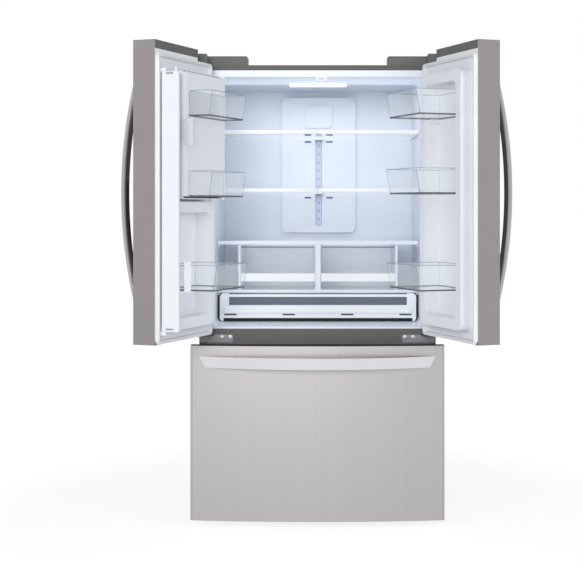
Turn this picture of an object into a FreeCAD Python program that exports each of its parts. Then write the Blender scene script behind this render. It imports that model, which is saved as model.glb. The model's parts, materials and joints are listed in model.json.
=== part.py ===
import FreeCAD, Part
import math
import os
import Sketcher
from FreeCAD import Placement, Rotation, Vector

# A three-door refrigerator: two upper doors on side hinges and a freezer drawer below.
# Everything is drawn with the doors shut. X runs to the right, Y to the back, Z up;
# the front of the cabinet is the plane Y = 0 until the whole part is centred at the end.

SIZES = {
    # cabinet
    "cabinet_width": 854.0,
    "cabinet_depth": 720.0,
    "cabinet_base": 52.0,
    "cabinet_top": 1656.0,
    "steel_gauge": 1.5,
    "flange_width": 22.0,
    "top_flange_height": 19.0,
    # fresh-food compartment
    "cabinet_side_wall": 47.0,
    "cavity_sill": 7.0,
    "cabinet_roof": 42.0,
    "cabinet_rear_wall": 80.0,
    "liner_wall": 2.5,
    "liner_corner": 18.0,
    # freezer compartment
    "freezer_floor": 100.0,
    "freezer_ceiling": 632.0,
    "freezer_rear_wall": 120.0,
    "freezer_step_clear": 80.0,
    "freezer_step_run": 60.0,
    "freezer_step_floor": 330.0,
    "freezer_lip": 12.0,
    # mullion rail between the compartments
    "rail_offset": 16.0,
    "rail_height": 57.0,
    # machine compartment
    "machine_depth": 240.0,
    "machine_height": 215.0,
    "cover_gauge": 2.0,
    "cover_slot_half": 240.0,
    "cover_slot_margin": 24.0,
    "cover_slot_height": 7.0,
    "cover_slot_pitch": 16.0,
    "cover_slot_count": 11,
    "compressor_radius": 78.0,
    "compressor_height": 150.0,
    "compressor_dome": 45.0,
    "compressor_offset": 210.0,
    "compressor_foot": 10.0,
    # toe grille and feet
    "grille_setback": 24.0,
    "grille_gauge": 3.0,
    "grille_rise": 16.0,
    "grille_slot_share": 0.667,
    "grille_slot_height": 10.0,
    "grille_margin": 22.0,
    "grille_slot_count": 9,
    "foot_side_inset": 59.0,
    "foot_front": 90.0,
    "foot_rear_inset": 60.0,
    "foot_radius": 20.0,
    "foot_thickness": 14.0,
    "foot_stem": 7.0,
    "foot_flat": 4.0,
    # doors
    "front_overhang": 27.0,
    "front_depth": 93.0,
    "front_bulge": 28.0,
    "gasket_depth": 13.0,
    "gasket_width": 13.0,
    "gasket_inset": 4.0,
    "gasket_side": 9.0,
    "seal_gap": 0.3,
    "door_gap": 5.0,
    "door_overlap": 15.0,
    "door_rise": 38.0,
    "skin_gauge": 1.2,
    "corner_radius": 14.0,
    "heel_radius": 14.0,
    "top_cap_height": 29.0,
    "bottom_cap_height": 14.0,
    # hinges
    "hinge_inset": 7.0,
    "hinge_y": -52.0,
    "pin_radius": 6.0,
    "pin_fit": 0.05,
    "pin_end_gap": 2.0,
    "notch_reach": 95.0,
    "notch_drop": 3.0,
    "notch_cap": 13.0,
    "riser_wall": 3.0,
    "hinge_plate": 4.0,
    "hinge_arm_half": 24.0,
    "hinge_plate_run": 120.0,
    "hinge_plate_front": 8.0,
    "hinge_plate_back": 70.0,
    "hinge_cover_run": 167.0,
    "hinge_cover_margin": 4.0,
    "hinge_cover_height": 33.0,
    "hinge_cover_gap": 0.3,
    "lower_plate_run": 115.0,
    "lower_plate_rise": 7.0,
    "lower_plate_gauge": 3.0,
    "lower_arm_gap": 6.0,
    "lower_collar_radius": 11.0,
    # inner mouldings of the doors
    "dyke_height": 41.0,
    "dyke_free": 50.0,
    "dyke_side_clear": 8.0,
    "dyke_width": 36.0,
    "dyke_floor_clear": 23.0,
    "dyke_top_clear": 12.0,
    "dyke_corner": 24.0,
    "pan_depth": 16.0,
    "lug_reach": 8.0,
    "lug_height": 12.0,
    "lug_depth": 34.0,
    # bins
    "bin_wall": 3.0,
    "bin_side_gap": 0.4,
    "bin_reach": 172.0,
    "bin_slant": 14.0,
    "upper_bin_clear": 30.0,
    "middle_bin_share": 0.5277,
    "lower_bin_share": 0.1707,
    "bin_height": 86.0,
    # handles of the doors
    "handle_inset": 38.0,
    "handle_width": 30.0,
    "handle_foot_clear": 123.0,
    "handle_head_clear": 125.0,
    "handle_standoff": 51.0,
    "handle_thickness": 18.0,
    "handle_foot": 34.0,
    "handle_foot_depth": 12.0,
    "handle_round": 5.0,
    # freezer drawer
    "drawer_bottom": 28.0,
    "drawer_rise": 18.0,
    "drawer_cap_height": 20.0,
    "seal_underlap": 24.0,
    "seal_overlap": 14.0,
    "pull_side_inset": 34.0,
    "pull_slope": 20.0,
    "pull_height": 39.0,
    "pull_drop": 37.0,
    "pull_standoff": 46.0,
    "pull_thickness": 20.0,
    "pull_foot": 36.0,
    # freezer slides, basket and tray
    "slide_width": 12.0,
    "slide_bottom": 345.0,
    "slide_height": 46.0,
    "slide_front": 16.0,
    "slide_rear_clear": 64.0,
    "slide_groove": 30.0,
    "slide_gap": 0.4,
    "runner_width": 14.0,
    "runner_rear_clear": 80.0,
    "runner_tongue": 9.0,
    "basket_front": 6.0,
    "basket_rear_clear": 22.0,
    "basket_floor": 112.0,
    "basket_top": 440.0,
    "basket_wall": 3.0,
    "basket_taper": 14.0,
    "basket_slot_width": 16.0,
    "basket_slot_height": 60.0,
    "basket_slot_share": 0.1158,
    "basket_slot_count": 13,
    "tray_length": 170.0,
    "tray_depth": 84.0,
    "tray_rim": 2.5,
    "tray_gap": 0.4,
    # shelves
    "shelf_setback": 205.0,
    "shelf_rear_clear": 35.0,
    "shelf_side_gap": 2.0,
    "shelf_split": 4.0,
    "shelf_glass": 5.0,
    "shelf_trim_height": 14.0,
    "shelf_trim_depth": 14.0,
    "upper_shelf_share": 0.7982,
    "middle_shelf_share": 0.5554,
    "crisper_cover_share": 0.338,
    "rib_reach": 8.0,
    "rib_height": 10.0,
    "rib_setback": 30.0,
    # crispers and pantry drawer
    "crisper_side_clear": 90.0,
    "crisper_inner": 12.0,
    "crisper_side_gap": 2.0,
    "crisper_frame_wall": 8.0,
    "crisper_front": 215.0,
    "crisper_rear_clear": 55.0,
    "crisper_top_gap": 8.0,
    "crisper_wall": 3.0,
    "crisper_taper": 10.0,
    "crisper_grip_rise": 32.0,
    "crisper_grip_height": 30.0,
    "crisper_grip_depth": 9.0,
    "pantry_cover_share": 0.133,
    "pantry_cover_height": 10.0,
    "pantry_side_clear": 10.0,
    "pantry_rear_clear": 40.0,
    "pantry_lid_gap": 3.0,
    "pantry_grip_share": 0.31,
    "pantry_window_share": 0.58,
    "pantry_window_rail": 14.0,
    "pantry_window_inset": 35.0,
    "pantry_slot_share": 0.22,
    "pantry_slot_height": 6.0,
    "pantry_slot_width": 46.0,
    "pantry_slot_pitch_share": 0.2973,
    "pantry_corner": 16.0,
    "run_gap": 0.4,
    # rear duct, lamp and mullion guide
    "duct_half_share": 0.3947,
    "duct_depth": 18.0,
    "duct_bottom_share": 0.3636,
    "duct_top_clear": 26.0,
    "duct_corner": 26.0,
    "channel_half": 11.0,
    "channel_depth": 8.0,
    "channel_bottom_share": 0.3969,
    "channel_top_share": 0.8071,
    "vent_width": 26.0,
    "vent_height": 7.0,
    "vent_offset": 44.0,
    "vent_depth": 9.0,
    "filter_half": 54.0,
    "filter_bottom_share": 0.8348,
    "filter_height_share": 0.0976,
    "filter_depth": 10.0,
    "hook_half": 16.0,
    "hook_reach": 42.0,
    "hook_height": 12.0,
    "lamp_half": 110.0,
    "lamp_front": 250.0,
    "lamp_depth": 90.0,
    "lamp_height": 8.0,
    "lamp_corner": 12.0,
    # folding mullion bar
    "bar_axis_x": -28.0,
    "bar_axis_y": 9.0,
    "bar_front": 0.4,
    "bar_thickness": 17.4,
    "bar_reach": 54.0,
    "bar_heel": 8.0,
    "bar_round": 4.0,
    "bar_floor_clear": 23.0,
    "bar_top_clear": 26.0,
    "bar_pin": 3.0,
    "bar_pin_length": 11.0,
    "bar_guide_arm": 42.0,
    "bar_guide_pin": 4.0,
    "bar_guide_height": 16.0,
    "bar_end_gap": 0.3,
    "bar_lug_half": 8.0,
    "bar_lug_height": 12.0,
    "guide_wall": 8.0,
    "guide_clear": 7.0,
    "guide_height": 16.0,
    # ice compartment
    "ice_free": 62.0,
    "ice_side_clear": 10.0,
    "ice_bottom_share": 0.5078,
    "ice_top_clear": 14.0,
    "ice_corner": 14.0,
    "ice_back": 65.0,
    "ice_wall": 4.0,
    "ice_proud": 56.0,
    "ice_door_gauge": 16.0,
    "ice_door_gap": 0.4,
    "ice_pin": 3.0,
    "ice_pin_inset": 8.0,
    "ice_ear_height": 9.0,
    "ice_bin_reach": 84.0,
    "ice_bin_side": 20.0,
    "ice_bin_slant": 10.0,
    "ice_upper_bin_share": 0.8115,
    "ice_lower_bin_share": 0.5166,
    "ice_bucket_height": 190.0,
    "ice_bucket_gap": 0.5,
    "ice_bucket_wall": 3.0,
    "latch_gauge": 4.0,
    "latch_clear": 7.0,
    "latch_height_share": 0.346,
    "latch_taper": 13.0,
    "latch_depth": 26.0,
    "latch_overlap": 12.0,
    # dispenser
    "dispenser_inner": 128.0,
    "dispenser_side_clear": 40.0,
    "dispenser_bottom_share": 0.1863,
    "dispenser_roof_share": 0.439,
    "dispenser_top_share": 0.5698,
    "dispenser_back": 30.0,
    "dispenser_panel_back": 69.0,
    "dispenser_wall": 4.0,
    "dispenser_corner": 12.0,
    "paddle_half": 22.0,
    "paddle_height": 112.0,
    "paddle_gauge": 4.0,
    "paddle_setback": 62.0,
    "paddle_pin_drop": 8.0,
    # rest pose and drawing aid
    "door_open_angle": 110.4,
    "overrun": 10.0,
}

# lengths that follow from the driving ones
FITTED = {
    "cavity_half": "cabinet_width / 2 - cabinet_side_wall",
    "cavity_ceiling": "cabinet_top - cabinet_roof",
    "cavity_back": "cabinet_depth - cabinet_rear_wall",
    "freezer_back": "cabinet_depth - freezer_rear_wall",
    "machine_front": "cabinet_depth - machine_depth",
    "freezer_step_front": "machine_front - freezer_step_clear",
    "rail_bottom": "freezer_ceiling + rail_offset",
    "rail_top": "rail_bottom + rail_height",
    "cavity_floor": "rail_top + cavity_sill",
    "cavity_height": "cavity_ceiling - cavity_floor",
    "grille_slot_pitch": "(cabinet_width - 2 * grille_margin) / grille_slot_count",
    "grille_slot": "grille_slot_pitch * grille_slot_share",
    "foot_spread": "cabinet_width / 2 - foot_side_inset",
    "front_span": "cabinet_width + 2 * front_overhang",
    "gasket_reach": "cabinet_width / 2 - gasket_side",
    "door_bottom": "rail_top - door_overlap",
    "door_top": "cabinet_top + door_rise",
    "hinge_x": "cabinet_width / 2 - hinge_inset",
    "notch_floor": "cabinet_top - notch_drop",
    "hinge_plate_start": "hinge_x - hinge_plate_run",
    "hinge_cover_start": "hinge_x - hinge_cover_run",
    "lower_plate_start": "hinge_x - lower_plate_run",
    "lower_plate_bottom": "rail_bottom + lower_plate_rise",
    "lower_arm_top": "door_bottom - lower_arm_gap",
    "dyke_hinge": "cavity_half - dyke_side_clear",
    "dyke_bottom": "cavity_floor + dyke_floor_clear",
    "dyke_top": "cavity_ceiling - dyke_top_clear",
    "upper_bin_floor": "dyke_top - dyke_width - bin_height - upper_bin_clear",
    "middle_bin_floor": "cavity_floor + cavity_height * middle_bin_share",
    "lower_bin_floor": "cavity_floor + cavity_height * lower_bin_share",
    "handle_bottom": "door_bottom + handle_foot_clear",
    "handle_top": "door_top - handle_head_clear",
    "drawer_top": "freezer_ceiling + drawer_rise",
    "drawer_gasket_bottom": "freezer_floor - seal_underlap",
    "drawer_gasket_top": "freezer_ceiling + seal_overlap",
    "pull_half": "front_span / 2 - pull_side_inset",
    "pull_top": "drawer_top - pull_drop",
    "pull_bottom": "pull_top - pull_height",
    "slide_length": "freezer_back - slide_front - slide_rear_clear",
    "runner_length": "freezer_back - runner_rear_clear",
    "basket_length": "freezer_step_front - basket_front - basket_rear_clear",
    "basket_slot_pitch": "cavity_half * basket_slot_share",
    "shelf_length": "cavity_back - shelf_setback - shelf_rear_clear",
    "upper_shelf_top": "cavity_floor + cavity_height * upper_shelf_share",
    "middle_shelf_top": "cavity_floor + cavity_height * middle_shelf_share",
    "crisper_cover_top": "cavity_floor + cavity_height * crisper_cover_share",
    "pantry_cover_top": "cavity_floor + cavity_height * pantry_cover_share",
    "crisper_outer": "cavity_half - crisper_side_clear",
    "crisper_length": "cavity_back - crisper_front - crisper_rear_clear",
    "crisper_grip_bottom": "pantry_cover_top + crisper_grip_rise",
    "pantry_half": "cavity_half - pantry_side_clear",
    "pantry_length": "cavity_back - crisper_front - pantry_rear_clear",
    "pantry_top": "pantry_cover_top - pantry_cover_height - pantry_lid_gap",
    "pantry_height": "pantry_top - cavity_floor",
    "pantry_grip_bottom": "cavity_floor + pantry_height * pantry_grip_share",
    "pantry_window_bottom": "cavity_floor + pantry_height * pantry_window_share",
    "pantry_slot_bottom": "cavity_floor + pantry_height * pantry_slot_share",
    "pantry_slot_pitch": "2 * pantry_half * pantry_slot_pitch_share",
    "duct_half": "cavity_half * duct_half_share",
    "duct_bottom": "cavity_floor + cavity_height * duct_bottom_share",
    "duct_top": "cavity_ceiling - duct_top_clear",
    "channel_bottom": "cavity_floor + cavity_height * channel_bottom_share",
    "channel_top": "cavity_floor + cavity_height * channel_top_share",
    "filter_bottom": "cavity_floor + cavity_height * filter_bottom_share",
    "filter_height": "cavity_height * filter_height_share",
    "bar_bottom": "cavity_floor + bar_floor_clear",
    "bar_top": "cavity_ceiling - bar_top_clear",
    "ice_hinge": "cavity_half - ice_side_clear",
    "ice_bottom": "cavity_floor + cavity_height * ice_bottom_share",
    "ice_top": "cavity_ceiling - ice_top_clear",
    "ice_upper_bin_floor": "cavity_floor + cavity_height * ice_upper_bin_share",
    "ice_lower_bin_floor": "cavity_floor + cavity_height * ice_lower_bin_share",
    "latch_height": "(ice_upper_bin_floor - ice_lower_bin_floor) * latch_height_share",
    "latch_bottom": "ice_upper_bin_floor - latch_clear - latch_height",
    "dispenser_outer": "dyke_hinge - dispenser_side_clear",
    "dispenser_bottom": "cavity_floor + cavity_height * dispenser_bottom_share",
    "dispenser_roof": "cavity_floor + cavity_height * dispenser_roof_share",
    "dispenser_top": "cavity_floor + cavity_height * dispenser_top_share",
}

doc = FreeCAD.newDocument("french_door_refrigerator")
sheet = doc.addObject("Spreadsheet::Sheet", "sizes")


class Dim:
    """A length and the sheet formula that gives it."""

    def __init__(self, value, formula):
        self.value = value
        self.formula = formula

    def __add__(self, other):
        other = dim(other)
        return Dim(self.value + other.value, "(%s + %s)" % (self.formula, other.formula))

    def __sub__(self, other):
        other = dim(other)
        return Dim(self.value - other.value, "(%s - %s)" % (self.formula, other.formula))

    def __mul__(self, other):
        other = dim(other)
        return Dim(self.value * other.value, "(%s * %s)" % (self.formula, other.formula))

    def __truediv__(self, other):
        other = dim(other)
        return Dim(self.value / other.value, "(%s / %s)" % (self.formula, other.formula))

    def __neg__(self):
        return Dim(-self.value, "(0 - %s)" % self.formula)

    def root(self):
        return Dim(self.value ** (1 / 2), "sqrt(%s)" % self.formula)

    def arcsine(self):
        return Dim(math.degrees(math.asin(self.value)), "asin(%s)" % self.formula)

    __radd__ = __add__

    def __rmul__(self, other):
        return dim(other) * self


def dim(number):
    """Return a Dim as it is, or a plain count wrapped as one."""
    if isinstance(number, Dim):
        return number
    return Dim(float(number), repr(number))


class Sizes:
    """The driving dimensions and those that follow from them, read by name from the sheet."""

    def __init__(self, table, fitted):
        rows = list(table.items()) + [(alias, "=" + formula) for alias, formula in fitted.items()]
        for row, (alias, content) in enumerate(rows, start=1):
            cell = "B%d" % row
            sheet.set("A%d" % row, alias)
            sheet.set(cell, str(content))
            sheet.setAlias(cell, alias)
        doc.recompute()
        for alias, content in rows:
            setattr(self, alias, Dim(float(sheet.get(alias)), "sizes." + alias))


d = Sizes(SIZES, FITTED)
zero = dim(0)
pieces = {}


# outlines

def rect(x0, x1, y0, y1):
    """Four straight sides."""
    return [(x0, y0), (x1, y0), (x1, y1), (x0, y1)]


def rounded(x0, x1, y0, y1, radius):
    """Four straight sides with round corners."""
    return [(x0 + radius, y0), (x1 - radius, y0, radius), (x1, y0 + radius),
            (x1, y1 - radius, radius), (x1 - radius, y1), (x0 + radius, y1, radius),
            (x0, y1 - radius), (x0, y0 + radius, radius)]


def chamfered(x0, x1, y0, y1, cut):
    """Four straight sides with the corners cut off."""
    return [(x0 + cut, y0), (x1 - cut, y0), (x1, y0 + cut), (x1, y1 - cut), (x1 - cut, y1),
            (x0 + cut, y1), (x0, y1 - cut), (x0, y0 + cut)]


def circle(x, y, radius):
    """A full circle."""
    return (x, y, radius)


def handed(loop, hand):
    """The outline drawn for the right side, or its mirror image for the left."""
    if isinstance(loop, tuple):
        return (hand * loop[0], loop[1], loop[2])
    if hand > 0:
        return loop
    turned = []
    for point in loop:
        turned.append((-point[0], point[1]) + tuple(-radius for radius in point[2:]))
    return turned


def arc(a, b, radius):
    """The shorter arc from a to b, with its centre on the left when the radius is positive."""
    chord = b - a
    half = chord.Length / 2
    left = Vector(-chord.y, chord.x, 0).normalize()
    rise = max(radius * radius - half * half, 0) ** (1 / 2)
    side = 1 if radius > 0 else -1
    centre = (a + b) / 2 + left * (side * rise)
    start, end = (a, b) if radius > 0 else (b, a)
    full = Part.Circle(centre, Vector(0, 0, 1), abs(radius))
    return Part.ArcOfCircle(full, full.parameter(start), full.parameter(end))


def draw(sketch, loop):
    """Draw one closed outline, every point and radius bound to the sheet."""
    first = sketch.GeometryCount
    rules = []
    formulas = []
    if isinstance(loop, tuple):
        x, y, radius = (dim(part) for part in loop)
        centre = Vector(x.value, y.value, 0)
        sketch.addGeometry(Part.Circle(centre, Vector(0, 0, 1), radius.value), False)
        rules.append(Sketcher.Constraint("DistanceX", -1, 1, first, 3, x.value))
        rules.append(Sketcher.Constraint("DistanceY", -1, 1, first, 3, y.value))
        rules.append(Sketcher.Constraint("Radius", first, radius.value))
        formulas = [x.formula, y.formula, radius.formula]
    else:
        nodes = [tuple(dim(part) for part in point) for point in loop]
        spots = [Vector(node[0].value, node[1].value, 0) for node in nodes]
        count = len(nodes)
        lines = []
        for index, node in enumerate(nodes):
            a = spots[index]
            b = spots[(index + 1) % count]
            curved = len(node) > 2
            lines.append(arc(a, b, node[2].value) if curved else Part.LineSegment(a, b))
        sketch.addGeometry(lines, False)
        backward = [len(node) > 2 and node[2].value < 0 for node in nodes]
        for index, node in enumerate(nodes):
            this = first + index
            after = first + (index + 1) % count
            start, end = (2, 1) if backward[index] else (1, 2)
            other = 2 if backward[(index + 1) % count] else 1
            rules.append(Sketcher.Constraint("Coincident", this, end, after, other))
            formulas.append(None)
            rules.append(Sketcher.Constraint("DistanceX", -1, 1, this, start, node[0].value))
            rules.append(Sketcher.Constraint("DistanceY", -1, 1, this, start, node[1].value))
            formulas += [node[0].formula, node[1].formula]
            if len(node) > 2:
                radius = -node[2] if backward[index] else node[2]
                rules.append(Sketcher.Constraint("Radius", this, radius.value))
                formulas.append(radius.formula)
    base = sketch.ConstraintCount
    sketch.addConstraint(rules)
    for index, formula in enumerate(formulas):
        if formula is not None:
            sketch.setExpression("Constraints[%d]" % (base + index), formula)


class Piece:
    """One sub-part: a body built from sketches, in world axes with the doors shut."""

    ROLES = {"XY": "XY_Plane", "XZ": "XZ_Plane", "YZ": "YZ_Plane"}

    def __init__(self, label):
        self.body = doc.addObject("PartDesign::Body", label)
        self.body.Label = label
        if hasattr(self.body, "AllowCompound"):
            self.body.AllowCompound = True
        pieces[label] = self.body

    def sketch(self, plane, level, loops):
        """A sketch on an origin plane, moved to a level along the world axis across it."""
        name = self.body.Name + "_sketch"
        sketch = self.body.newObject("Sketcher::SketchObject", name)
        role = self.ROLES[plane]
        support = [item for item in self.body.Origin.OriginFeatures if item.Role == role][0]
        sketch.AttachmentSupport = [(support, "")]
        sketch.MapMode = "FlatFace"
        offset = -dim(level) if plane == "XZ" else dim(level)
        sketch.AttachmentOffset = Placement(Vector(0, 0, offset.value), Rotation())
        sketch.setExpression("AttachmentOffset.Base.z", offset.formula)
        for loop in loops:
            draw(sketch, loop)
        return sketch

    def feature(self, kind, plane, low, high, loops):
        low, high = dim(low), dim(high)
        profile = self.sketch(plane, low, loops)
        feature = self.body.newObject("PartDesign::" + kind, self.body.Name + "_" + kind.lower())
        feature.Profile = profile
        feature.Length = high.value - low.value
        feature.setExpression("Length", (high - low).formula)
        return feature

    def pad(self, plane, low, high, *loops):
        """Add the outlines, swept from low to high along the world axis."""
        feature = self.feature("Pad", plane, low, high, loops)
        feature.Reversed = plane == "XZ"
        return self

    def pocket(self, plane, low, high, *loops):
        """Cut the outlines away, from low to high along the world axis."""
        feature = self.feature("Pocket", plane, low, high, loops)
        feature.Reversed = plane != "XZ"
        return self

    def turn(self, level, loop, axis_y, angle):
        """Turn a plan outline about a line along X, by half the angle to each side."""
        profile = self.sketch("XY", level, [loop])
        reach = Vector(loop[0][0].value, 0, 0)
        line = Part.LineSegment(Vector(0, axis_y.value, 0), Vector(0, axis_y.value, 0) + reach)
        index = profile.addGeometry(line, True)
        base = profile.ConstraintCount
        profile.addConstraint([Sketcher.Constraint("Horizontal", index),
                               Sketcher.Constraint("DistanceY", -1, 1, index, 1, axis_y.value)])
        profile.setExpression("Constraints[%d]" % (base + 1), axis_y.formula)
        feature = self.body.newObject("PartDesign::Revolution", self.body.Name + "_turn")
        feature.Profile = profile
        feature.ReferenceAxis = (profile, ["Axis0"])
        feature.Midplane = True
        feature.Angle = angle.value
        feature.setExpression("Angle", angle.formula)
        return self

    def pattern(self, role, pitch, count):
        """Repeat the last feature along a world axis."""
        last = self.body.Tip
        feature = self.body.newObject("PartDesign::LinearPattern", self.body.Name + "_row")
        feature.Originals = [last]
        axis = [item for item in self.body.Origin.OriginFeatures if item.Role == role][0]
        feature.Direction = (axis, [""])
        feature.Occurrences = int(count.value)
        feature.setExpression("Occurrences", count.formula)
        span = pitch * (count - 1)
        feature.Length = span.value
        feature.setExpression("Length", span.formula)
        self.body.Tip = feature
        return self

    def chamfer(self, size, chosen):
        """Bevel the edges that a test picks from the body so far."""
        doc.recompute()
        base = self.body.Tip
        names = []
        for index, edge in enumerate(base.Shape.Edges, start=1):
            if chosen(edge):
                names.append("Edge%d" % index)
        feature = self.body.newObject("PartDesign::Chamfer", self.body.Name + "_chamfer")
        feature.Base = (base, names)
        feature.Size = size.value
        feature.setExpression("Size", size.formula)
        return self


TOUCH = SIZES["seal_gap"] / SIZES["overrun"]


def is_level(edge, level):
    """True for an edge that lies in a level plane."""
    box = edge.BoundBox
    return abs(box.ZMin - level.value) < TOUCH and abs(box.ZMax - level.value) < TOUCH


# shared lines of the cabinet
cab_half = d.cabinet_width / 2
inner_half = cab_half - d.steel_gauge
flange_x = cab_half - d.flange_width
top_flange_z = d.cabinet_top - d.top_flange_height
cavity_out = d.cavity_half + d.liner_wall
back_out = d.cavity_back + d.liner_wall
rear_in = d.cabinet_depth - d.steel_gauge
base_top = d.cabinet_base + d.steel_gauge
machine_roof = base_top + d.machine_height
over = d.overrun

# shared lines of the fronts
front_half = d.front_span / 2
front_radius = (front_half * front_half + d.front_bulge * d.front_bulge) / (2 * d.front_bulge)
front_centre = front_radius - d.front_depth
door_back = -d.gasket_depth
free_edge = d.door_gap / 2


def front_y(x, inset=zero):
    """The Y of the bowed front at a given X."""
    radius = front_radius - inset
    return front_centre - (radius * radius - x * x).root()


def wide_loop(half, inset, back, corner):
    """Plan of a front that spans both sides, bowed at the front."""
    edge = half - corner
    y = front_y(edge, inset)
    return [(-edge, y, front_radius - inset), (edge, y, corner), (half, y + corner), (half, back),
            (-half, back), (-half, y + corner, corner)]


# cabinet shell

def cavity_loop(grow):
    """Front view of the fresh-food compartment, grown by a wall."""
    corner = d.liner_corner + grow
    return rounded(-d.cavity_half - grow, d.cavity_half + grow,
                   d.cavity_floor - grow, d.cavity_ceiling + grow, corner)


def freezer_side(grow):
    """Side view of the freezer compartment, with the step over the machine compartment."""
    low = d.freezer_floor - grow
    rise = d.freezer_step_floor - grow
    back = d.freezer_back + grow
    turn = d.freezer_step_front + grow
    return [(-over, low), (turn, low), (turn + d.freezer_step_run, rise), (back, rise),
            (back, d.freezer_ceiling + grow), (-over, d.freezer_ceiling + grow)]


def freezer_shell_side(grow):
    """The same side view, closed off at the cabinet front."""
    inner = freezer_side(grow)[1:-1]
    return [(zero, inner[0][1])] + inner + [(zero, inner[-1][1])]


machine_side = [(d.machine_front, d.cabinet_base), (d.cabinet_depth + over, d.cabinet_base),
                (d.cabinet_depth + over, machine_roof), (d.machine_front, machine_roof)]

Piece("cabinet_wrapper").pad(
    "XZ", zero, d.cabinet_depth,
    [(-cab_half, d.cabinet_base), (-inner_half, d.cabinet_base),
     (-inner_half, d.cabinet_top - d.steel_gauge), (inner_half, d.cabinet_top - d.steel_gauge),
     (inner_half, d.cabinet_base), (cab_half, d.cabinet_base), (cab_half, d.cabinet_top),
     (-cab_half, d.cabinet_top)],
).pad(
    "XZ", zero, d.steel_gauge,
    [(-inner_half, d.cabinet_base), (-flange_x, d.cabinet_base), (-flange_x, top_flange_z),
     (flange_x, top_flange_z), (flange_x, d.cabinet_base), (inner_half, d.cabinet_base),
     (inner_half, d.cabinet_top - d.steel_gauge), (-inner_half, d.cabinet_top - d.steel_gauge)],
)

Piece("rear_panel").pad(
    "XZ", rear_in, d.cabinet_depth,
    rect(-inner_half, inner_half, machine_roof, d.cabinet_top - d.steel_gauge),
)

Piece("base_pan").pad(
    "XY", d.cabinet_base, base_top, rect(-inner_half, inner_half, d.steel_gauge, rear_in),
).pad(
    "XZ", zero, d.steel_gauge,
    rect(-flange_x, flange_x, d.cabinet_base, d.freezer_floor - d.freezer_lip * 2),
).pad(
    "XZ", d.machine_front, d.machine_front + d.steel_gauge,
    rect(-inner_half, inner_half, base_top, machine_roof),
).pad(
    "XY", machine_roof - d.steel_gauge, machine_roof,
    rect(-inner_half, inner_half, d.machine_front, rear_in),
).pad(
    "XZ", d.machine_front, rear_in - d.cover_gauge,
    *[handed(rect(inner_half - d.steel_gauge, inner_half, base_top, machine_roof), hand) for hand in (1, -1)],
)

Piece("foam_insulation").pad(
    "XY", base_top, d.cabinet_top - d.steel_gauge,
    rect(-inner_half, inner_half, d.steel_gauge, rear_in),
).pocket(
    "XZ", -over, back_out, cavity_loop(d.liner_wall),
).pocket(
    "YZ", -cavity_out, cavity_out, freezer_side(d.liner_wall),
).pocket(
    "YZ", -cab_half - over, cab_half + over, machine_side,
)

rib_tops = [d.upper_shelf_top - d.shelf_glass, d.middle_shelf_top - d.shelf_glass,
            d.crisper_cover_top - d.shelf_trim_height, d.pantry_cover_top - d.pantry_cover_height]
ribs = []
for rib_top in rib_tops:
    for hand in (1, -1):
        ribs.append(handed(rect(d.cavity_half - d.rib_reach, d.cavity_half,
                                rib_top - d.rib_height, rib_top), hand))

Piece("fresh_food_liner").pad(
    "XZ", zero, back_out, cavity_loop(d.liner_wall),
).pad(
    "XZ", zero, d.steel_gauge, rect(-flange_x, flange_x, d.rail_top, top_flange_z),
).pocket(
    "XZ", -over, d.cavity_back, cavity_loop(zero),
).pad(
    "XZ", d.shelf_setback + d.rib_setback, d.shelf_setback + d.shelf_length, *ribs,
)

Piece("freezer_liner").pad(
    "YZ", -cavity_out, cavity_out, freezer_shell_side(d.liner_wall),
).pad(
    "XZ", zero, d.steel_gauge,
    rect(-flange_x, flange_x, d.freezer_floor - d.freezer_lip * 2, d.rail_bottom),
).pocket(
    "YZ", -d.cavity_half, d.cavity_half, freezer_side(zero),
)

Piece("mullion_rail").pad(
    "XZ", zero, d.steel_gauge, rect(-flange_x, flange_x, d.rail_bottom, d.rail_top),
)

# machine compartment, toe grille and feet
slot_low = base_top + d.cover_slot_margin
Piece("machine_cover").pad(
    "XZ", rear_in - d.cover_gauge, rear_in,
    rect(-inner_half, inner_half, base_top, machine_roof - d.steel_gauge),
).pocket(
    "XZ", rear_in - d.cover_gauge - over, rear_in + over,
    rect(-d.cover_slot_half, d.cover_slot_half, slot_low, slot_low + d.cover_slot_height),
).pattern("Z_Axis", d.cover_slot_pitch, d.cover_slot_count)

compressor_y = (d.machine_front + rear_in) / 2
compressor_top = base_top + d.compressor_height
Piece("compressor").pad(
    "XY", base_top, base_top + d.compressor_foot,
    chamfered(d.compressor_offset - d.compressor_radius, d.compressor_offset + d.compressor_radius,
              compressor_y - d.compressor_radius, compressor_y + d.compressor_radius, d.compressor_dome),
).pad(
    "XY", base_top + d.compressor_foot, compressor_top,
    circle(d.compressor_offset, compressor_y, d.compressor_radius),
).chamfer(d.compressor_dome, lambda edge: is_level(edge, compressor_top))

grille_start = -d.grille_slot_pitch * (d.grille_slot_count - 1) / 2
Piece("toe_grille").pad(
    "XZ", d.grille_setback, d.grille_setback + d.grille_gauge,
    rect(-flange_x, flange_x, d.grille_rise, d.cabinet_base),
).pocket(
    "XZ", d.grille_setback - over, d.grille_setback + d.grille_gauge + over,
    rect(grille_start - d.grille_slot / 2, grille_start + d.grille_slot / 2,
         d.grille_rise + d.grille_slot_height, d.grille_rise + 2 * d.grille_slot_height),
).pattern("X_Axis", d.grille_slot_pitch, d.grille_slot_count)

foot_spots = []
for hand in (1, -1):
    foot_spots.append((hand * d.foot_spread, d.foot_front))
    foot_spots.append((hand * d.foot_spread, rear_in - d.foot_rear_inset))
Piece("levelling_feet").pad(
    "XY", zero, d.foot_thickness, *[circle(x, y, d.foot_radius) for x, y in foot_spots],
).pad(
    "XY", d.foot_thickness, d.cabinet_base,
    *[chamfered(x - d.foot_stem, x + d.foot_stem, y - d.foot_stem, y + d.foot_stem, d.foot_flat)
      for x, y in foot_spots],
)

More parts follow.
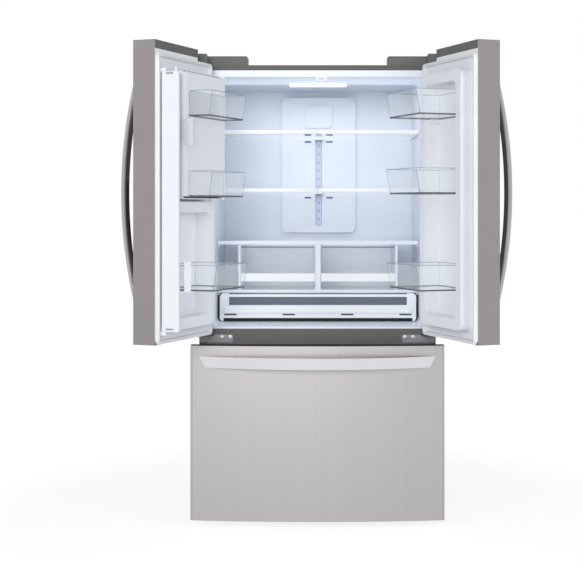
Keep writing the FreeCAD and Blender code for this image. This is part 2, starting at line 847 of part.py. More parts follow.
# rear duct with the centre shelf rail, lamp
duct_front = d.cavity_back - d.duct_depth
vents = []
for level in (d.channel_top, d.channel_top - d.vent_height * 4, d.middle_shelf_top - d.vent_height * 4):
    for hand in (1, -1):
        middle = hand * d.vent_offset
        vents.append(rect(middle - d.vent_width / 2, middle + d.vent_width / 2,
                          level - d.vent_height, level))
hooks = []
for level in (d.upper_shelf_top - d.shelf_glass, d.middle_shelf_top - d.shelf_glass):
    hooks.append(rect(-d.hook_half, d.hook_half, level - d.hook_height, level))
Piece("air_duct_cover").pad(
    "XZ", duct_front, d.cavity_back,
    rounded(-d.duct_half, d.duct_half, d.duct_bottom, d.duct_top, d.duct_corner),
).pocket(
    "XZ", duct_front - over, duct_front + d.channel_depth,
    rounded(-d.channel_half, d.channel_half, d.channel_bottom, d.channel_top, d.channel_half
            - d.liner_wall),
).pocket(
    "XZ", duct_front - over, duct_front + d.vent_depth, *vents,
).pad(
    "XZ", duct_front - d.filter_depth, duct_front,
    rounded(-d.filter_half, d.filter_half, d.filter_bottom, d.filter_bottom + d.filter_height,
            d.duct_corner / 2),
).pad(
    "XZ", duct_front - d.hook_reach, duct_front + d.channel_depth, *hooks,
)

Piece("ceiling_lamp").pad(
    "XY", d.cavity_ceiling - d.lamp_height, d.cavity_ceiling,
    chamfered(-d.lamp_half, d.lamp_half, d.lamp_front, d.lamp_front + d.lamp_depth, d.lamp_corner),
)

# guide that turns the folding bar as the left door shuts
guide_x = d.bar_axis_x + d.bar_guide_arm
guide_half = d.bar_guide_pin + d.guide_clear
guide_back = d.bar_axis_y + guide_half
Piece("mullion_guide").pad(
    "XY", d.cavity_ceiling - d.guide_height, d.cavity_ceiling,
    rect(guide_x - guide_half - d.guide_wall, guide_x + guide_half + d.guide_wall,
         d.steel_gauge, guide_back + d.guide_wall),
).pocket(
    "XY", d.cavity_ceiling - d.guide_height - over, d.cavity_ceiling - d.guide_wall / 2,
    rect(guide_x - guide_half, guide_x + guide_half, -over, guide_back),
)


# hinges

def top_hinge_loop(hand, grow):
    """Plan of the top hinge: a plate on the cabinet and an arm out over the pin."""
    arm_in = d.hinge_x - d.hinge_arm_half - grow
    arm_out = d.hinge_x + d.hinge_arm_half + grow
    tip = d.hinge_y - d.hinge_arm_half - grow
    plate_out = inner_half + grow
    start = d.hinge_plate_start - grow
    return handed([(arm_in, tip), (arm_out, tip), (arm_out, d.hinge_plate_front - grow),
                   (plate_out, d.hinge_plate_front - grow), (plate_out, d.hinge_plate_back + grow),
                   (start, d.hinge_plate_back + grow), (start, d.hinge_plate_front - grow),
                   (arm_in, d.hinge_plate_front - grow)], hand)


def top_hinge(label, hand):
    """Steel plate with a pin that points down into the door's cap."""
    top = d.cabinet_top + d.hinge_plate
    Piece(label).pad(
        "XY", d.cabinet_top, top, top_hinge_loop(hand, zero),
    ).pad(
        "XY", d.notch_floor - d.notch_cap + d.pin_end_gap, d.cabinet_top,
        circle(hand * d.hinge_x, d.hinge_y, d.pin_radius),
    )


def hinge_cover(label, hand):
    """Moulded cover over the hinge plate and its arm."""
    margin = d.hinge_cover_margin
    arm_in = d.hinge_x - d.hinge_arm_half - margin
    arm_out = d.hinge_x + d.hinge_arm_half + margin
    tip = d.hinge_y - d.hinge_arm_half - margin
    front = d.hinge_plate_front - margin
    back = d.hinge_plate_back + 2 * margin
    out = cab_half
    plan = [(arm_in, tip), (arm_out, tip), (arm_out, front), (out, front), (out, back),
            (d.hinge_cover_start, back), (d.hinge_cover_start, front), (arm_in, front)]
    top = d.cabinet_top + d.hinge_cover_height
    gap = d.hinge_cover_gap
    Piece(label).pad(
        "XY", d.cabinet_top, top, handed(plan, hand),
    ).pocket(
        "XY", d.cabinet_top - over, d.cabinet_top + d.hinge_plate, top_hinge_loop(hand, gap),
    ).chamfer(margin, lambda edge: is_level(edge, top))


def lower_hinge(label, hand):
    """Bracket on the mullion rail with an arm under the door and a pin that points up."""
    arm_in = d.hinge_x - d.hinge_arm_half
    arm_out = d.hinge_x + d.hinge_arm_half
    tip = d.hinge_y - d.hinge_arm_half
    arm_low = d.lower_arm_top - d.hinge_plate
    Piece(label).pad(
        "XZ", -d.lower_plate_gauge, zero,
        handed(chamfered(d.lower_plate_start, cab_half, d.lower_plate_bottom, d.lower_arm_top,
                         d.hinge_plate), hand),
    ).pad(
        "XY", arm_low, d.lower_arm_top,
        handed([(arm_in, tip + d.hinge_arm_half), (d.hinge_x, tip), (arm_out, tip + d.hinge_arm_half),
                (cab_half, -d.lower_plate_gauge), (arm_in - d.hinge_arm_half, -d.lower_plate_gauge)],
               hand),
    ).pad(
        "XY", d.lower_arm_top, d.door_bottom - d.seal_gap,
        circle(hand * d.hinge_x, d.hinge_y, d.lower_collar_radius),
    ).pad(
        "XY", d.door_bottom - d.seal_gap, d.door_bottom + d.bottom_cap_height - d.pin_end_gap,
        circle(hand * d.hinge_x, d.hinge_y, d.pin_radius),
    )


for word, hand in (("left", -1), ("right", 1)):
    top_hinge(word + "_top_hinge", hand)
    hinge_cover(word + "_hinge_cover", hand)
    lower_hinge(word + "_lower_hinge", hand)


# shelves

def shelf(label, hand, top):
    """Glass shelf with a moulded front trim, on a side rib and the centre hook."""
    inner = d.shelf_split / 2
    outer = d.cavity_half - d.shelf_side_gap
    back = d.shelf_setback + d.shelf_length
    Piece(label).pad(
        "XY", top - d.shelf_glass, top, handed(rect(inner, outer, d.shelf_setback, back), hand),
    ).pad(
        "YZ", hand * outer if hand < 0 else inner, -inner if hand < 0 else outer,
        [(d.shelf_setback, top - d.shelf_trim_height),
         (d.shelf_setback + d.shelf_trim_depth / 2, top - d.shelf_trim_height),
         (d.shelf_setback + d.shelf_trim_depth, top - d.shelf_glass),
         (d.shelf_setback + d.shelf_trim_depth, top), (d.shelf_setback, top)],
    )


for word, hand in (("left", -1), ("right", 1)):
    shelf("upper_shelf_" + word, hand, d.upper_shelf_top)
    shelf("middle_shelf_" + word, hand, d.middle_shelf_top)

# crisper cover: a framed pane on side ribs, with hangers and a divider down to the pantry cover
cover_bottom = d.crisper_cover_top - d.shelf_trim_height
shelf_half = d.cavity_half - d.shelf_side_gap
shelf_back = d.shelf_setback + d.shelf_length
frame_out = d.crisper_outer + d.crisper_side_gap + d.crisper_frame_wall
divider_half = d.crisper_inner - d.crisper_side_gap
hangers = [rect(-divider_half, divider_half, d.pantry_cover_top, cover_bottom)]
for hand in (1, -1):
    hangers.append(handed(rect(d.crisper_outer + d.crisper_side_gap, frame_out,
                               d.pantry_cover_top, cover_bottom), hand))
Piece("crisper_cover").pad(
    "XY", cover_bottom, d.crisper_cover_top, rect(-shelf_half, shelf_half, d.shelf_setback, shelf_back),
).pad(
    "XZ", d.crisper_front, shelf_back, *hangers,
)

Piece("pantry_cover").pad(
    "XY", d.pantry_cover_top - d.pantry_cover_height, d.pantry_cover_top,
    rect(-shelf_half, shelf_half, d.crisper_front, shelf_back),
)

# freezer slides on the liner's walls
slide_in = d.cavity_half - d.slide_width
slide_mid = d.slide_bottom + d.slide_height / 2
slide_back = d.slide_front + d.slide_length
groove = [(slide_in - over, slide_mid - d.slide_groove / 2),
          (d.cavity_half - d.slide_width / 4, slide_mid - d.slide_groove / 2),
          (d.cavity_half - d.slide_width / 4, slide_mid + d.slide_groove / 2),
          (slide_in - over, slide_mid + d.slide_groove / 2)]
rail_loops = [handed(rect(slide_in, d.cavity_half, d.slide_bottom, d.slide_bottom + d.slide_height), hand)
              for hand in (1, -1)]
Piece("freezer_slides").pad(
    "XZ", d.slide_front, slide_back, *rail_loops,
).pocket(
    "XZ", d.slide_front - over, slide_back + over, *[handed(groove, hand) for hand in (1, -1)],
)


# doors

def door_plan():
    """Plan of the right door: bowed front, round outer corner and round heel by the hinge."""
    turn = front_half - d.corner_radius
    y = front_y(turn)
    return [(free_edge, front_y(free_edge), front_radius), (turn, y, d.corner_radius),
            (front_half, y + d.corner_radius), (front_half, door_back - d.heel_radius, d.heel_radius),
            (front_half - d.heel_radius, door_back), (free_edge, door_back)]


def core_plan(back):
    """Plan of what fills the skin, behind its front, its sides and the lip round its heel."""
    gauge = d.skin_gauge
    free = free_edge + gauge
    out = front_half - gauge
    turn = front_half - d.corner_radius
    y = front_y(turn, gauge)
    lip = front_half - d.heel_radius
    return [(free, front_y(free, gauge), front_radius - gauge), (turn, y, d.corner_radius - gauge),
            (out, y + d.corner_radius - gauge), (out, door_back - d.heel_radius, d.heel_radius - gauge),
            (lip, door_back - gauge), (lip, back), (free, back)]


notch_x = d.hinge_x - d.notch_reach
liner_top = d.door_top - d.top_cap_height
liner_bottom = d.door_bottom + d.bottom_cap_height
notch_bottom = d.notch_floor - d.notch_cap
deep = -d.front_depth - over
dyke_y = door_back + d.dyke_height


def dyke_loop(inset, low, high):
    """Front view of the raised ridge round the door's pan, or of the pan inside it."""
    return rounded(d.dyke_free + inset, d.dyke_hinge - inset, low + inset, high - inset,
                   d.dyke_corner)


def lug_loops(levels):
    """Front view of the ledges that carry the bins."""
    loops = []
    inner = d.dyke_free + d.dyke_width
    outer = d.dyke_hinge - d.dyke_width
    for level in levels:
        low = level - d.lug_height
        loops.append(rect(inner, inner + d.lug_reach, low, level))
        loops.append(rect(outer - d.lug_reach, outer, low, level))
    return loops


def door_skin(label, hand):
    """Bowed steel skin with returned sides, notched under the top hinge."""
    return Piece(label).pad(
        "XY", d.door_bottom, d.door_top, handed(door_plan(), hand),
    ).pocket(
        "XY", d.door_bottom - over, d.door_top + over, handed(core_plan(door_back + over), hand),
    ).pocket(
        "XZ", deep, over, handed(rect(notch_x, front_half + over, d.notch_floor, d.door_top + over), hand),
    )


def door_liner(label, hand, dyke_high, levels):
    """Insulated inner moulding with a ridge, a sunk pan and the bins' ledges."""
    shoulder = notch_x - d.riser_wall
    return Piece(label).pad(
        "XY", liner_bottom, liner_top, handed(core_plan(door_back), hand),
    ).pocket(
        "XZ", deep, over, handed(rect(shoulder, front_half + over, notch_bottom, liner_top + over), hand),
    ).pad(
        "XZ", door_back, dyke_y, handed(dyke_loop(zero, d.dyke_bottom, dyke_high), hand),
    ).pocket(
        "XZ", door_back - d.pan_depth, dyke_y + over,
        handed(dyke_loop(d.dyke_width, d.dyke_bottom, dyke_high), hand),
    ).pad(
        "XZ", door_back - d.pan_depth, door_back - d.pan_depth + d.lug_depth,
        *[handed(loop, hand) for loop in lug_loops(levels)],
    )


def door_caps(label, hand):
    """Dark moulded caps at the top and bottom, bored for the hinge pins."""
    shoulder = notch_x - d.riser_wall
    plan = handed(core_plan(door_back), hand)
    bore = circle(hand * d.hinge_x, d.hinge_y, d.pin_radius + d.pin_fit)
    Piece(label).pad(
        "XY", notch_bottom, d.door_top, plan,
    ).pocket(
        "XZ", deep, over, handed(rect(free_edge - over, shoulder, notch_bottom - over, liner_top), hand),
    ).pocket(
        "XZ", deep, over, handed(rect(notch_x, front_half + over, d.notch_floor, d.door_top + over), hand),
    ).pad(
        "XY", d.door_bottom, liner_bottom, plan,
    ).pocket(
        "XY", notch_bottom - over, d.notch_floor + over, bore,
    ).pocket(
        "XY", d.door_bottom - over, liner_bottom + over, bore,
    )


def ring(label, hand, x0, x1, z0, z1):
    """Door seal: a frame that runs round the inner face."""
    wide = d.gasket_width
    Piece(label).pad(
        "XZ", door_back, -d.seal_gap,
        handed(chamfered(x0, x1, z0, z1, wide + d.gasket_inset), hand),
    ).pocket(
        "XZ", door_back - over, over,
        handed(chamfered(x0 + wide, x1 - wide, z0 + wide, z1 - wide, d.gasket_inset), hand),
    )


def bow_radius(half, rise):
    """Radius of the arc that spans twice a half chord with a given rise."""
    return (half * half + rise * rise) / (2 * rise)


def door_handle(label, hand):
    """Bowed bar turned about a far axis, standing on a foot at each end."""
    near = free_edge + d.handle_inset
    far = near + d.handle_width
    face = front_y(near)
    half = (d.handle_top - d.handle_bottom) / 2
    middle = (d.handle_top + d.handle_bottom) / 2
    bow = bow_radius(half, d.handle_standoff)
    crest = face - d.handle_standoff
    section = chamfered(near, far, crest - d.handle_thickness, crest, d.handle_round)
    angle = 2 * (half / bow).arcsine()
    inset = d.handle_round
    feet = [rect(near + inset, far - inset, d.handle_bottom, d.handle_bottom + d.handle_foot),
            rect(near + inset, far - inset, d.handle_top - d.handle_foot, d.handle_top)]
    Piece(label).turn(
        middle, handed(section, hand), crest + bow - d.handle_thickness / 2, angle,
    ).pad(
        "XZ", face - d.handle_foot_depth, face, *[handed(foot, hand) for foot in feet],
    )


def tub(label, low, high, outer, inner, wall):
    """Open-topped box: a side view swept across, hollowed between its end walls."""
    return Piece(label).pad("YZ", low, high, outer).pocket("YZ", low + wall, high - wall, inner)


def bin_side(back, front, floor, height, slant, wall):
    """Side views of a bin with a sloping front, outside and inside."""
    top = floor + height
    lean = (front - slant - wall, floor + wall)
    outer = [(back, floor), (front - slant, floor), (front, top), (back, top)]
    inner = [(back + wall, floor + wall), lean, (front - wall + slant * over / height, top + over),
             (back + wall, top + over)]
    return outer, inner


def door_bin(label, hand, floor):
    """Clear bin that sits between the ridges, on their ledges."""
    gap = d.bin_side_gap
    inner = d.dyke_free + d.dyke_width + gap
    outer = d.dyke_hinge - d.dyke_width - gap
    back = door_back - d.pan_depth + gap
    low, high = (inner, outer) if hand > 0 else (-outer, -inner)
    return tub(label, low, high, *bin_side(back, d.bin_reach, floor, d.bin_height, d.bin_slant, d.bin_wall),
               d.bin_wall)


gasket_z = (d.door_bottom + d.seal_gap, top_flange_z + d.gasket_width + d.gasket_inset / 2)
for word, hand in (("left", -1), ("right", 1)):
    skin = door_skin(word + "_door_skin", hand)
    if hand > 0:
        levels = [d.upper_bin_floor, d.middle_bin_floor, d.lower_bin_floor]
        door_liner("right_door_liner", hand, d.dyke_top, levels)
    door_caps(word + "_door_caps", hand)
    ring(word + "_door_gasket", hand, free_edge + d.gasket_inset, d.gasket_reach, *gasket_z)
    door_handle(word + "_door_handle", hand)
    if hand < 0:
        left_skin = skin
door_bin("right_upper_bin", 1, d.upper_bin_floor)
door_bin("right_middle_bin", 1, d.middle_bin_floor)
door_bin("right_lower_bin", 1, d.lower_bin_floor)
door_bin("left_lower_bin", -1, d.lower_bin_floor)

# left door: ice compartment above, bin below, dispenser in the face, folding bar at the free edge
ice_split = d.ice_bottom - d.ice_wall * 2
left_liner = door_liner("left_door_liner", -1, ice_split, [d.lower_bin_floor])
ice_y = door_back - d.ice_back + d.gasket_depth
ice_front = d.ice_proud
ice_loop = rounded(d.ice_free, d.ice_hinge, d.ice_bottom, d.ice_top, d.ice_corner)
ice_room = chamfered(d.ice_free + d.ice_wall, d.ice_hinge - d.ice_wall, d.ice_bottom + d.ice_wall,
                     d.ice_top - d.ice_wall, d.ice_corner - d.ice_wall)
dispenser_y = -d.dispenser_back
panel_y = -d.dispenser_panel_back


def face_loop(back):
    """Plan of a block let into the bowed front, over the dispenser's width."""
    x0, x1 = d.dispenser_inner, d.dispenser_outer
    return handed([(x0, front_y(x0), front_radius), (x1, front_y(x1)), (x1, back), (x0, back)], -1)


def cut_loop(back):
    """The same plan, run out past the front for cutting."""
    x0, x1 = d.dispenser_inner, d.dispenser_outer
    return handed(rect(x0, x1, deep, back), -1)


left_skin.pocket("XY", d.dispenser_bottom, d.dispenser_top, cut_loop(panel_y))
lug_x = d.bar_axis_x
bar_lug = [(lug_x - d.bar_lug_half, door_back), (lug_x + d.bar_lug_half, door_back),
           (lug_x + d.bar_lug_half, d.bar_axis_y, d.bar_lug_half),
           (lug_x, d.bar_axis_y + d.bar_lug_half, d.bar_lug_half),
           (lug_x - d.bar_lug_half, d.bar_axis_y)]
bar_hole = circle(lug_x, d.bar_axis_y, d.bar_pin + d.pin_fit)
lug_levels = [(d.bar_bottom - d.bar_end_gap - d.bar_lug_height, d.bar_bottom - d.bar_end_gap),
              (d.bar_top + d.bar_end_gap, d.bar_top + d.bar_end_gap + d.bar_lug_height)]
left_liner.pocket("XZ", ice_y, over, handed(ice_loop, -1))
left_liner.pocket("XY", d.dispenser_bottom, d.dispenser_roof + d.dispenser_wall, cut_loop(dispenser_y))
left_liner.pocket("XY", d.dispenser_roof, d.dispenser_top, cut_loop(panel_y))
for low, high in lug_levels:
    left_liner.pad("XY", low, high, bar_lug)
    left_liner.pocket("XY", low - over, high + over, bar_hole)

ice_ear_y = ice_front + d.ice_door_gap + d.ice_door_gauge / 2
ice_pin_x = -d.ice_hinge + d.ice_pin_inset
ear_loop = [(ice_pin_x - d.ice_pin_inset, ice_front - d.ice_wall * 2),
            (ice_pin_x + d.ice_pin_inset, ice_front - d.ice_wall * 2),
            (ice_pin_x + d.ice_pin_inset, ice_ear_y, d.ice_pin_inset),
            (ice_pin_x, ice_ear_y + d.ice_pin_inset, d.ice_pin_inset),
            (ice_pin_x - d.ice_pin_inset, ice_ear_y)]
ear_hole = circle(ice_pin_x, ice_ear_y, d.ice_pin + d.pin_fit)
ice_ears = [(d.ice_bottom, d.ice_bottom + d.ice_ear_height), (d.ice_top - d.ice_ear_height, d.ice_top)]
ice_housing = Piece("ice_housing").pad(
    "XZ", ice_y, ice_front, handed(ice_loop, -1),
).pocket(
    "XZ", ice_y + d.ice_wall, ice_front + over, handed(ice_room, -1),
)
for low, high in ice_ears:
    ice_housing.pad("XY", low, high, ear_loop)
    ice_housing.pocket("XY", low - over, high + over, ear_hole)

bucket_low = d.ice_bottom + d.ice_wall
bucket_side = (ice_y + d.ice_wall + d.ice_bucket_gap, ice_front - d.ice_bucket_gap)
bucket_x = (-d.ice_hinge + d.ice_wall + d.ice_pin_inset * 2 + d.ice_bucket_gap,
            -d.ice_free - d.ice_corner)
tub("ice_bin", bucket_x[0], bucket_x[1],
    *bin_side(bucket_side[0], bucket_side[1], bucket_low, d.ice_bucket_height,
              d.ice_corner, d.ice_bucket_wall), d.ice_bucket_wall)

# ice-compartment door, its bins and latch
ice_gap = d.ice_door_gap
ice_door_y = (ice_front + ice_gap, ice_front + ice_gap + d.ice_door_gauge)
ice_round = d.ice_door_gauge / 2
Piece("ice_door_panel").pad(
    "XY", d.ice_bottom + d.ice_ear_height + ice_gap, d.ice_top - d.ice_ear_height - ice_gap,
    [(ice_pin_x, ice_door_y[0]), (-d.ice_free, ice_door_y[0]), (-d.ice_free, ice_door_y[1]),
     (ice_pin_x, ice_door_y[1], ice_round), (ice_pin_x - ice_round, ice_ear_y, ice_round)],
).pad(
    "XY", d.ice_bottom + ice_gap, d.ice_bottom + d.ice_ear_height + ice_gap + d.ice_pin,
    circle(ice_pin_x, ice_ear_y, d.ice_pin),
).pad(
    "XY", d.ice_top - d.ice_ear_height - ice_gap - d.ice_pin, d.ice_top - ice_gap,
    circle(ice_pin_x, ice_ear_y, d.ice_pin),
)

ice_bins = Piece("ice_door_bins")
ice_bin_low = -d.ice_hinge + d.ice_bin_side
ice_bin_high = -d.ice_free - d.ice_bin_side
ice_bin_front = ice_door_y[1] + d.ice_bin_reach
for floor in (d.ice_upper_bin_floor, d.ice_lower_bin_floor):
    outer, inner = bin_side(ice_door_y[1], ice_bin_front, floor, d.bin_height, d.ice_bin_slant, d.bin_wall)
    ice_bins.pad("YZ", ice_bin_low, ice_bin_high, outer)
    ice_bins.pocket("YZ", ice_bin_low + d.bin_wall, ice_bin_high - d.bin_wall, inner)

# latch plate on the free edge, its corners cut on the side of the housing
latch_top = d.latch_bottom + d.latch_height
latch_x = -d.ice_free + ice_gap
latch_y = (ice_door_y[1] - d.latch_overlap, ice_door_y[1] + d.latch_depth)
Piece("ice_latch").pad(
    "YZ", latch_x, latch_x + d.latch_gauge,
    [(latch_y[0], d.latch_bottom + d.latch_taper), (latch_y[0] + d.latch_taper, d.latch_bottom),
     (latch_y[1], d.latch_bottom), (latch_y[1], latch_top),
     (latch_y[0] + d.latch_taper, latch_top), (latch_y[0], latch_top - d.latch_taper)],
)

# dispenser in the left door's face
housing = Piece("dispenser_housing").pad(
    "XY", d.dispenser_bottom, d.dispenser_roof + d.dispenser_wall, face_loop(dispenser_y),
).pad(
    "XY", d.dispenser_roof, d.dispenser_top, face_loop(panel_y),
).pocket(
    "XZ", deep, dispenser_y - d.dispenser_wall,
    handed(rounded(d.dispenser_inner + d.dispenser_wall, d.dispenser_outer - d.dispenser_wall,
                   d.dispenser_bottom + d.dispenser_wall, d.dispenser_roof, d.dispenser_corner), -1),
)
paddle_x = -(d.dispenser_inner + d.dispenser_outer) / 2
paddle_y = -d.paddle_setback
paddle_top = d.dispenser_roof - d.run_gap
Piece("dispenser_paddle").pad(
    "XZ", paddle_y, paddle_y + d.paddle_gauge,
    chamfered(paddle_x - d.paddle_half, paddle_x + d.paddle_half, paddle_top - d.paddle_height, paddle_top,
              d.paddle_pin_drop),
)

# folding bar, drawn as it lies with the left door open: turned back along the door's free edge
bar_near = d.bar_axis_x - (d.bar_front + d.bar_thickness - d.bar_axis_y)
bar_far = d.bar_axis_x + (d.bar_axis_y - d.bar_front)
Piece("folding_mullion").pad(
    "XY", d.bar_bottom, d.bar_top,
    chamfered(bar_near, bar_far, d.bar_axis_y - d.bar_heel, d.bar_axis_y + d.bar_reach, d.bar_round),
).pad(
    "XY", d.bar_bottom - d.bar_pin_length, d.bar_bottom,
    circle(d.bar_axis_x, d.bar_axis_y, d.bar_pin),
).pad(
    "XY", d.bar_top, d.bar_top + d.bar_pin_length, circle(d.bar_axis_x, d.bar_axis_y, d.bar_pin),
).pad(
    "XY", d.bar_top, d.bar_top + d.bar_guide_height,
    circle(d.bar_axis_x, d.bar_axis_y + d.bar_guide_arm, d.bar_guide_pin),
)

# freezer drawer
drawer_liner_top = d.drawer_top - d.drawer_cap_height
Piece("drawer_skin").pad(
    "XY", d.drawer_bottom, d.drawer_top, wide_loop(front_half, zero, door_back, d.corner_radius),
).pocket(
    "XY", d.drawer_bottom - over, d.drawer_top + over,
    wide_loop(front_half - d.skin_gauge, d.skin_gauge, door_back + over, d.corner_radius - d.skin_gauge),
)
inside_drawer = wide_loop(front_half - d.skin_gauge, d.skin_gauge, door_back, d.corner_radius - d.skin_gauge)
Piece("drawer_liner").pad("XY", d.drawer_bottom, drawer_liner_top, inside_drawer)
Piece("drawer_cap").pad("XY", drawer_liner_top, d.drawer_top, inside_drawer)
ring("drawer_gasket", 1, -d.gasket_reach, d.gasket_reach, d.drawer_gasket_bottom, d.drawer_gasket_top)

pull_face = front_y(d.pull_half)
pull_in = d.pull_half - d.pull_foot
pull_rise = d.front_depth + pull_face + d.pull_standoff
pull_outer = bow_radius(d.pull_half, pull_rise + d.pull_thickness)
pull_inner = bow_radius(pull_in, d.front_depth + front_y(pull_in) + d.pull_standoff)
pull_end = [(d.pull_half, d.pull_top), (d.pull_half - d.pull_slope, d.pull_bottom),
            (d.pull_half + over, d.pull_bottom), (d.pull_half + over, d.pull_top)]
Piece("drawer_handle").pad(
    "XY", d.pull_bottom, d.pull_top,
    [(-d.pull_half, pull_face, pull_outer), (d.pull_half, pull_face, -front_radius),
     (pull_in, front_y(pull_in), -pull_inner), (-pull_in, front_y(pull_in), -front_radius)],
).pocket(
    "XZ", -d.front_depth * 2, zero, pull_end, handed(pull_end, -1),
)

runner_out = slide_in - d.slide_gap
runner_in = runner_out - d.runner_width
runner_low = slide_mid - d.slide_groove / 2
runner_high = slide_mid + d.slide_groove / 2
runner_back = door_back + d.runner_length
tongue_half = d.slide_groove / 2 - d.slide_gap
runner_loop = [(runner_in, runner_low), (runner_out, runner_low), (runner_out, slide_mid - tongue_half / 2),
               (runner_out + d.runner_tongue - d.slide_gap, slide_mid - tongue_half / 2),
               (runner_out + d.runner_tongue - d.slide_gap, slide_mid + tongue_half / 2),
               (runner_out, slide_mid + tongue_half / 2), (runner_out, runner_high), (runner_in, runner_high)]
Piece("drawer_runners").pad(
    "XZ", door_back, runner_back, *[handed(runner_loop, hand) for hand in (1, -1)],
)

basket_half = runner_in - d.slide_gap
basket_back = d.basket_front + d.basket_length
slot_start = -d.basket_slot_pitch * (d.basket_slot_count - 1) / 2
basket_slot_low = (d.basket_floor + d.basket_top) / 2 - d.basket_slot_height / 2
basket_outer = [(d.basket_front, d.basket_floor), (basket_back - d.basket_taper, d.basket_floor),
                (basket_back, d.basket_top), (d.basket_front, d.basket_top)]
basket_wall = d.basket_wall
basket_inner = [(d.basket_front + basket_wall, d.basket_floor + basket_wall),
                (basket_back - d.basket_taper - basket_wall, d.basket_floor + basket_wall),
                (basket_back - basket_wall, d.basket_top + over), (d.basket_front + basket_wall,
                                                                    d.basket_top + over)]
rim_loops = [handed(rect(basket_half - basket_wall, runner_out, runner_high, runner_high + basket_wall), hand)
             for hand in (1, -1)]
Piece("freezer_basket").pad(
    "YZ", -basket_half, basket_half, basket_outer,
).pocket(
    "YZ", -basket_half + basket_wall, basket_half - basket_wall, basket_inner,
).pocket(
    "XZ", d.basket_front - over, d.basket_front + basket_wall + over,
    rect(slot_start - d.basket_slot_width / 2, slot_start + d.basket_slot_width / 2,
         basket_slot_low, basket_slot_low + d.basket_slot_height),
).pattern(
    "X_Axis", d.basket_slot_pitch, d.basket_slot_count,
).pad(
    "XZ", d.basket_front, basket_back - d.basket_taper, *rim_loops,
)

tray_half = basket_half - basket_wall - d.tray_gap
tray_front = d.basket_front + basket_wall + d.tray_gap
tray_floor = d.basket_top - d.tray_depth
tray_rims = [handed(rect(tray_half - d.tray_rim, basket_half, d.basket_top + d.tray_gap,
                         d.basket_top + d.tray_gap + d.tray_rim), hand) for hand in (1, -1)]
tray_outer = rect(tray_front, tray_front + d.tray_length, tray_floor, d.basket_top + d.tray_gap + d.tray_rim)
tray_inner = rect(tray_front + d.tray_rim, tray_front + d.tray_length - d.tray_rim, tray_floor + d.tray_rim,
                  d.basket_top + over)
Piece("freezer_tray").pad(
    "YZ", -tray_half, tray_half, tray_outer,
).pocket(
    "YZ", -tray_half + d.tray_rim, tray_half - d.tray_rim, tray_inner,
).pad(
    "XZ", tray_front, tray_front + d.tray_length, *tray_rims,
)


# crispers and pantry drawer

def crisper(label, hand):
    """Clear drawer under the crisper cover, with a moulded grip across its front."""
    low, high = (d.crisper_inner, d.crisper_outer) if hand > 0 else (-d.crisper_outer, -d.crisper_inner)
    floor = d.pantry_cover_top + d.run_gap
    top = cover_bottom - d.crisper_top_gap
    back = d.crisper_front + d.crisper_length
    wall = d.crisper_wall
    outer = [(d.crisper_front, floor), (back - d.crisper_taper, floor), (back, top), (d.crisper_front, top)]
    inner = [(d.crisper_front + wall, floor + wall), (back - d.crisper_taper - wall, floor + wall),
             (back - wall, top + over), (d.crisper_front + wall, top + over)]
    grip_top = d.crisper_grip_bottom + d.crisper_grip_height
    deep_grip = d.crisper_front - d.crisper_grip_depth
    tub(label, low, high, outer, inner, wall).pad(
        "YZ", low, high,
        [(d.crisper_front, d.crisper_grip_bottom), (d.crisper_front, grip_top), (deep_grip, grip_top),
         (deep_grip, d.crisper_grip_bottom)],
    )


crisper("left_crisper", -1)
crisper("right_crisper", 1)

pantry_floor = d.cavity_floor + d.run_gap
pantry_back = d.crisper_front + d.pantry_length
pantry_wall = d.crisper_wall
grip_y = d.crisper_front - d.crisper_grip_depth
pantry_window = d.pantry_half - d.pantry_window_inset
slot_first = -d.pantry_slot_pitch * 3 / 2
Piece("pantry_drawer").pad(
    "XZ", d.crisper_front, pantry_back,
    rounded(-d.pantry_half, d.pantry_half, pantry_floor, d.pantry_top, d.pantry_corner),
).pocket(
    "YZ", -d.pantry_half + pantry_wall * 2, d.pantry_half - pantry_wall * 2,
    rect(d.crisper_front + pantry_wall * 2, pantry_back - pantry_wall, pantry_floor + pantry_wall * 2,
         d.pantry_top + over),
).pocket(
    "XZ", d.crisper_front - over, d.crisper_front + pantry_wall * 2 + over,
    rect(-pantry_window, pantry_window, d.pantry_window_bottom, d.pantry_top - d.pantry_window_rail),
).pocket(
    "XZ", d.crisper_front - over, d.crisper_front + pantry_wall,
    rect(slot_first - d.pantry_slot_width / 2, slot_first + d.pantry_slot_width / 2,
         d.pantry_slot_bottom, d.pantry_slot_bottom + d.pantry_slot_height),
).pattern(
    "X_Axis", d.pantry_slot_pitch, dim(4),
).pad(
    "XZ", grip_y, d.crisper_front,
    rect(-d.pantry_half + d.pantry_corner, d.pantry_half - d.pantry_corner, d.pantry_grip_bottom,
         d.pantry_window_bottom - d.pantry_lid_gap),
)

# the upper doors rest open on their hinges
doc.recompute()
opened = {
    -1: ["left_door_skin", "left_door_liner", "left_door_gasket", "left_door_caps", "left_door_handle",
         "left_lower_bin", "ice_housing", "ice_bin", "ice_door_panel", "ice_door_bins",
         "ice_latch", "dispenser_housing", "dispenser_paddle", "folding_mullion"],
    1: ["right_door_skin", "right_door_liner", "right_door_gasket", "right_door_caps",
        "right_door_handle", "right_upper_bin", "right_middle_bin", "right_lower_bin"],
}
up = Vector(0, 0, 1)
for hand, labels in opened.items():
    axis = Vector(hand * d.hinge_x.value, d.hinge_y.value, 0)
    turn = Placement(Vector(), Rotation(up, hand * d.door_open_angle.value), axis)
    for label in labels:
        pieces[label].Placement = turn
doc.recompute()

# the origin lies on the floor, under the middle of the whole part
box = FreeCAD.BoundBox()
for body in pieces.values():
    box.add(body.Shape.BoundBox)
shift = Placement(Vector(0, -box.Center.y, 0), Rotation())
for body in pieces.values():
    body.Placement = shift.multiply(body.Placement)
doc.recompute()

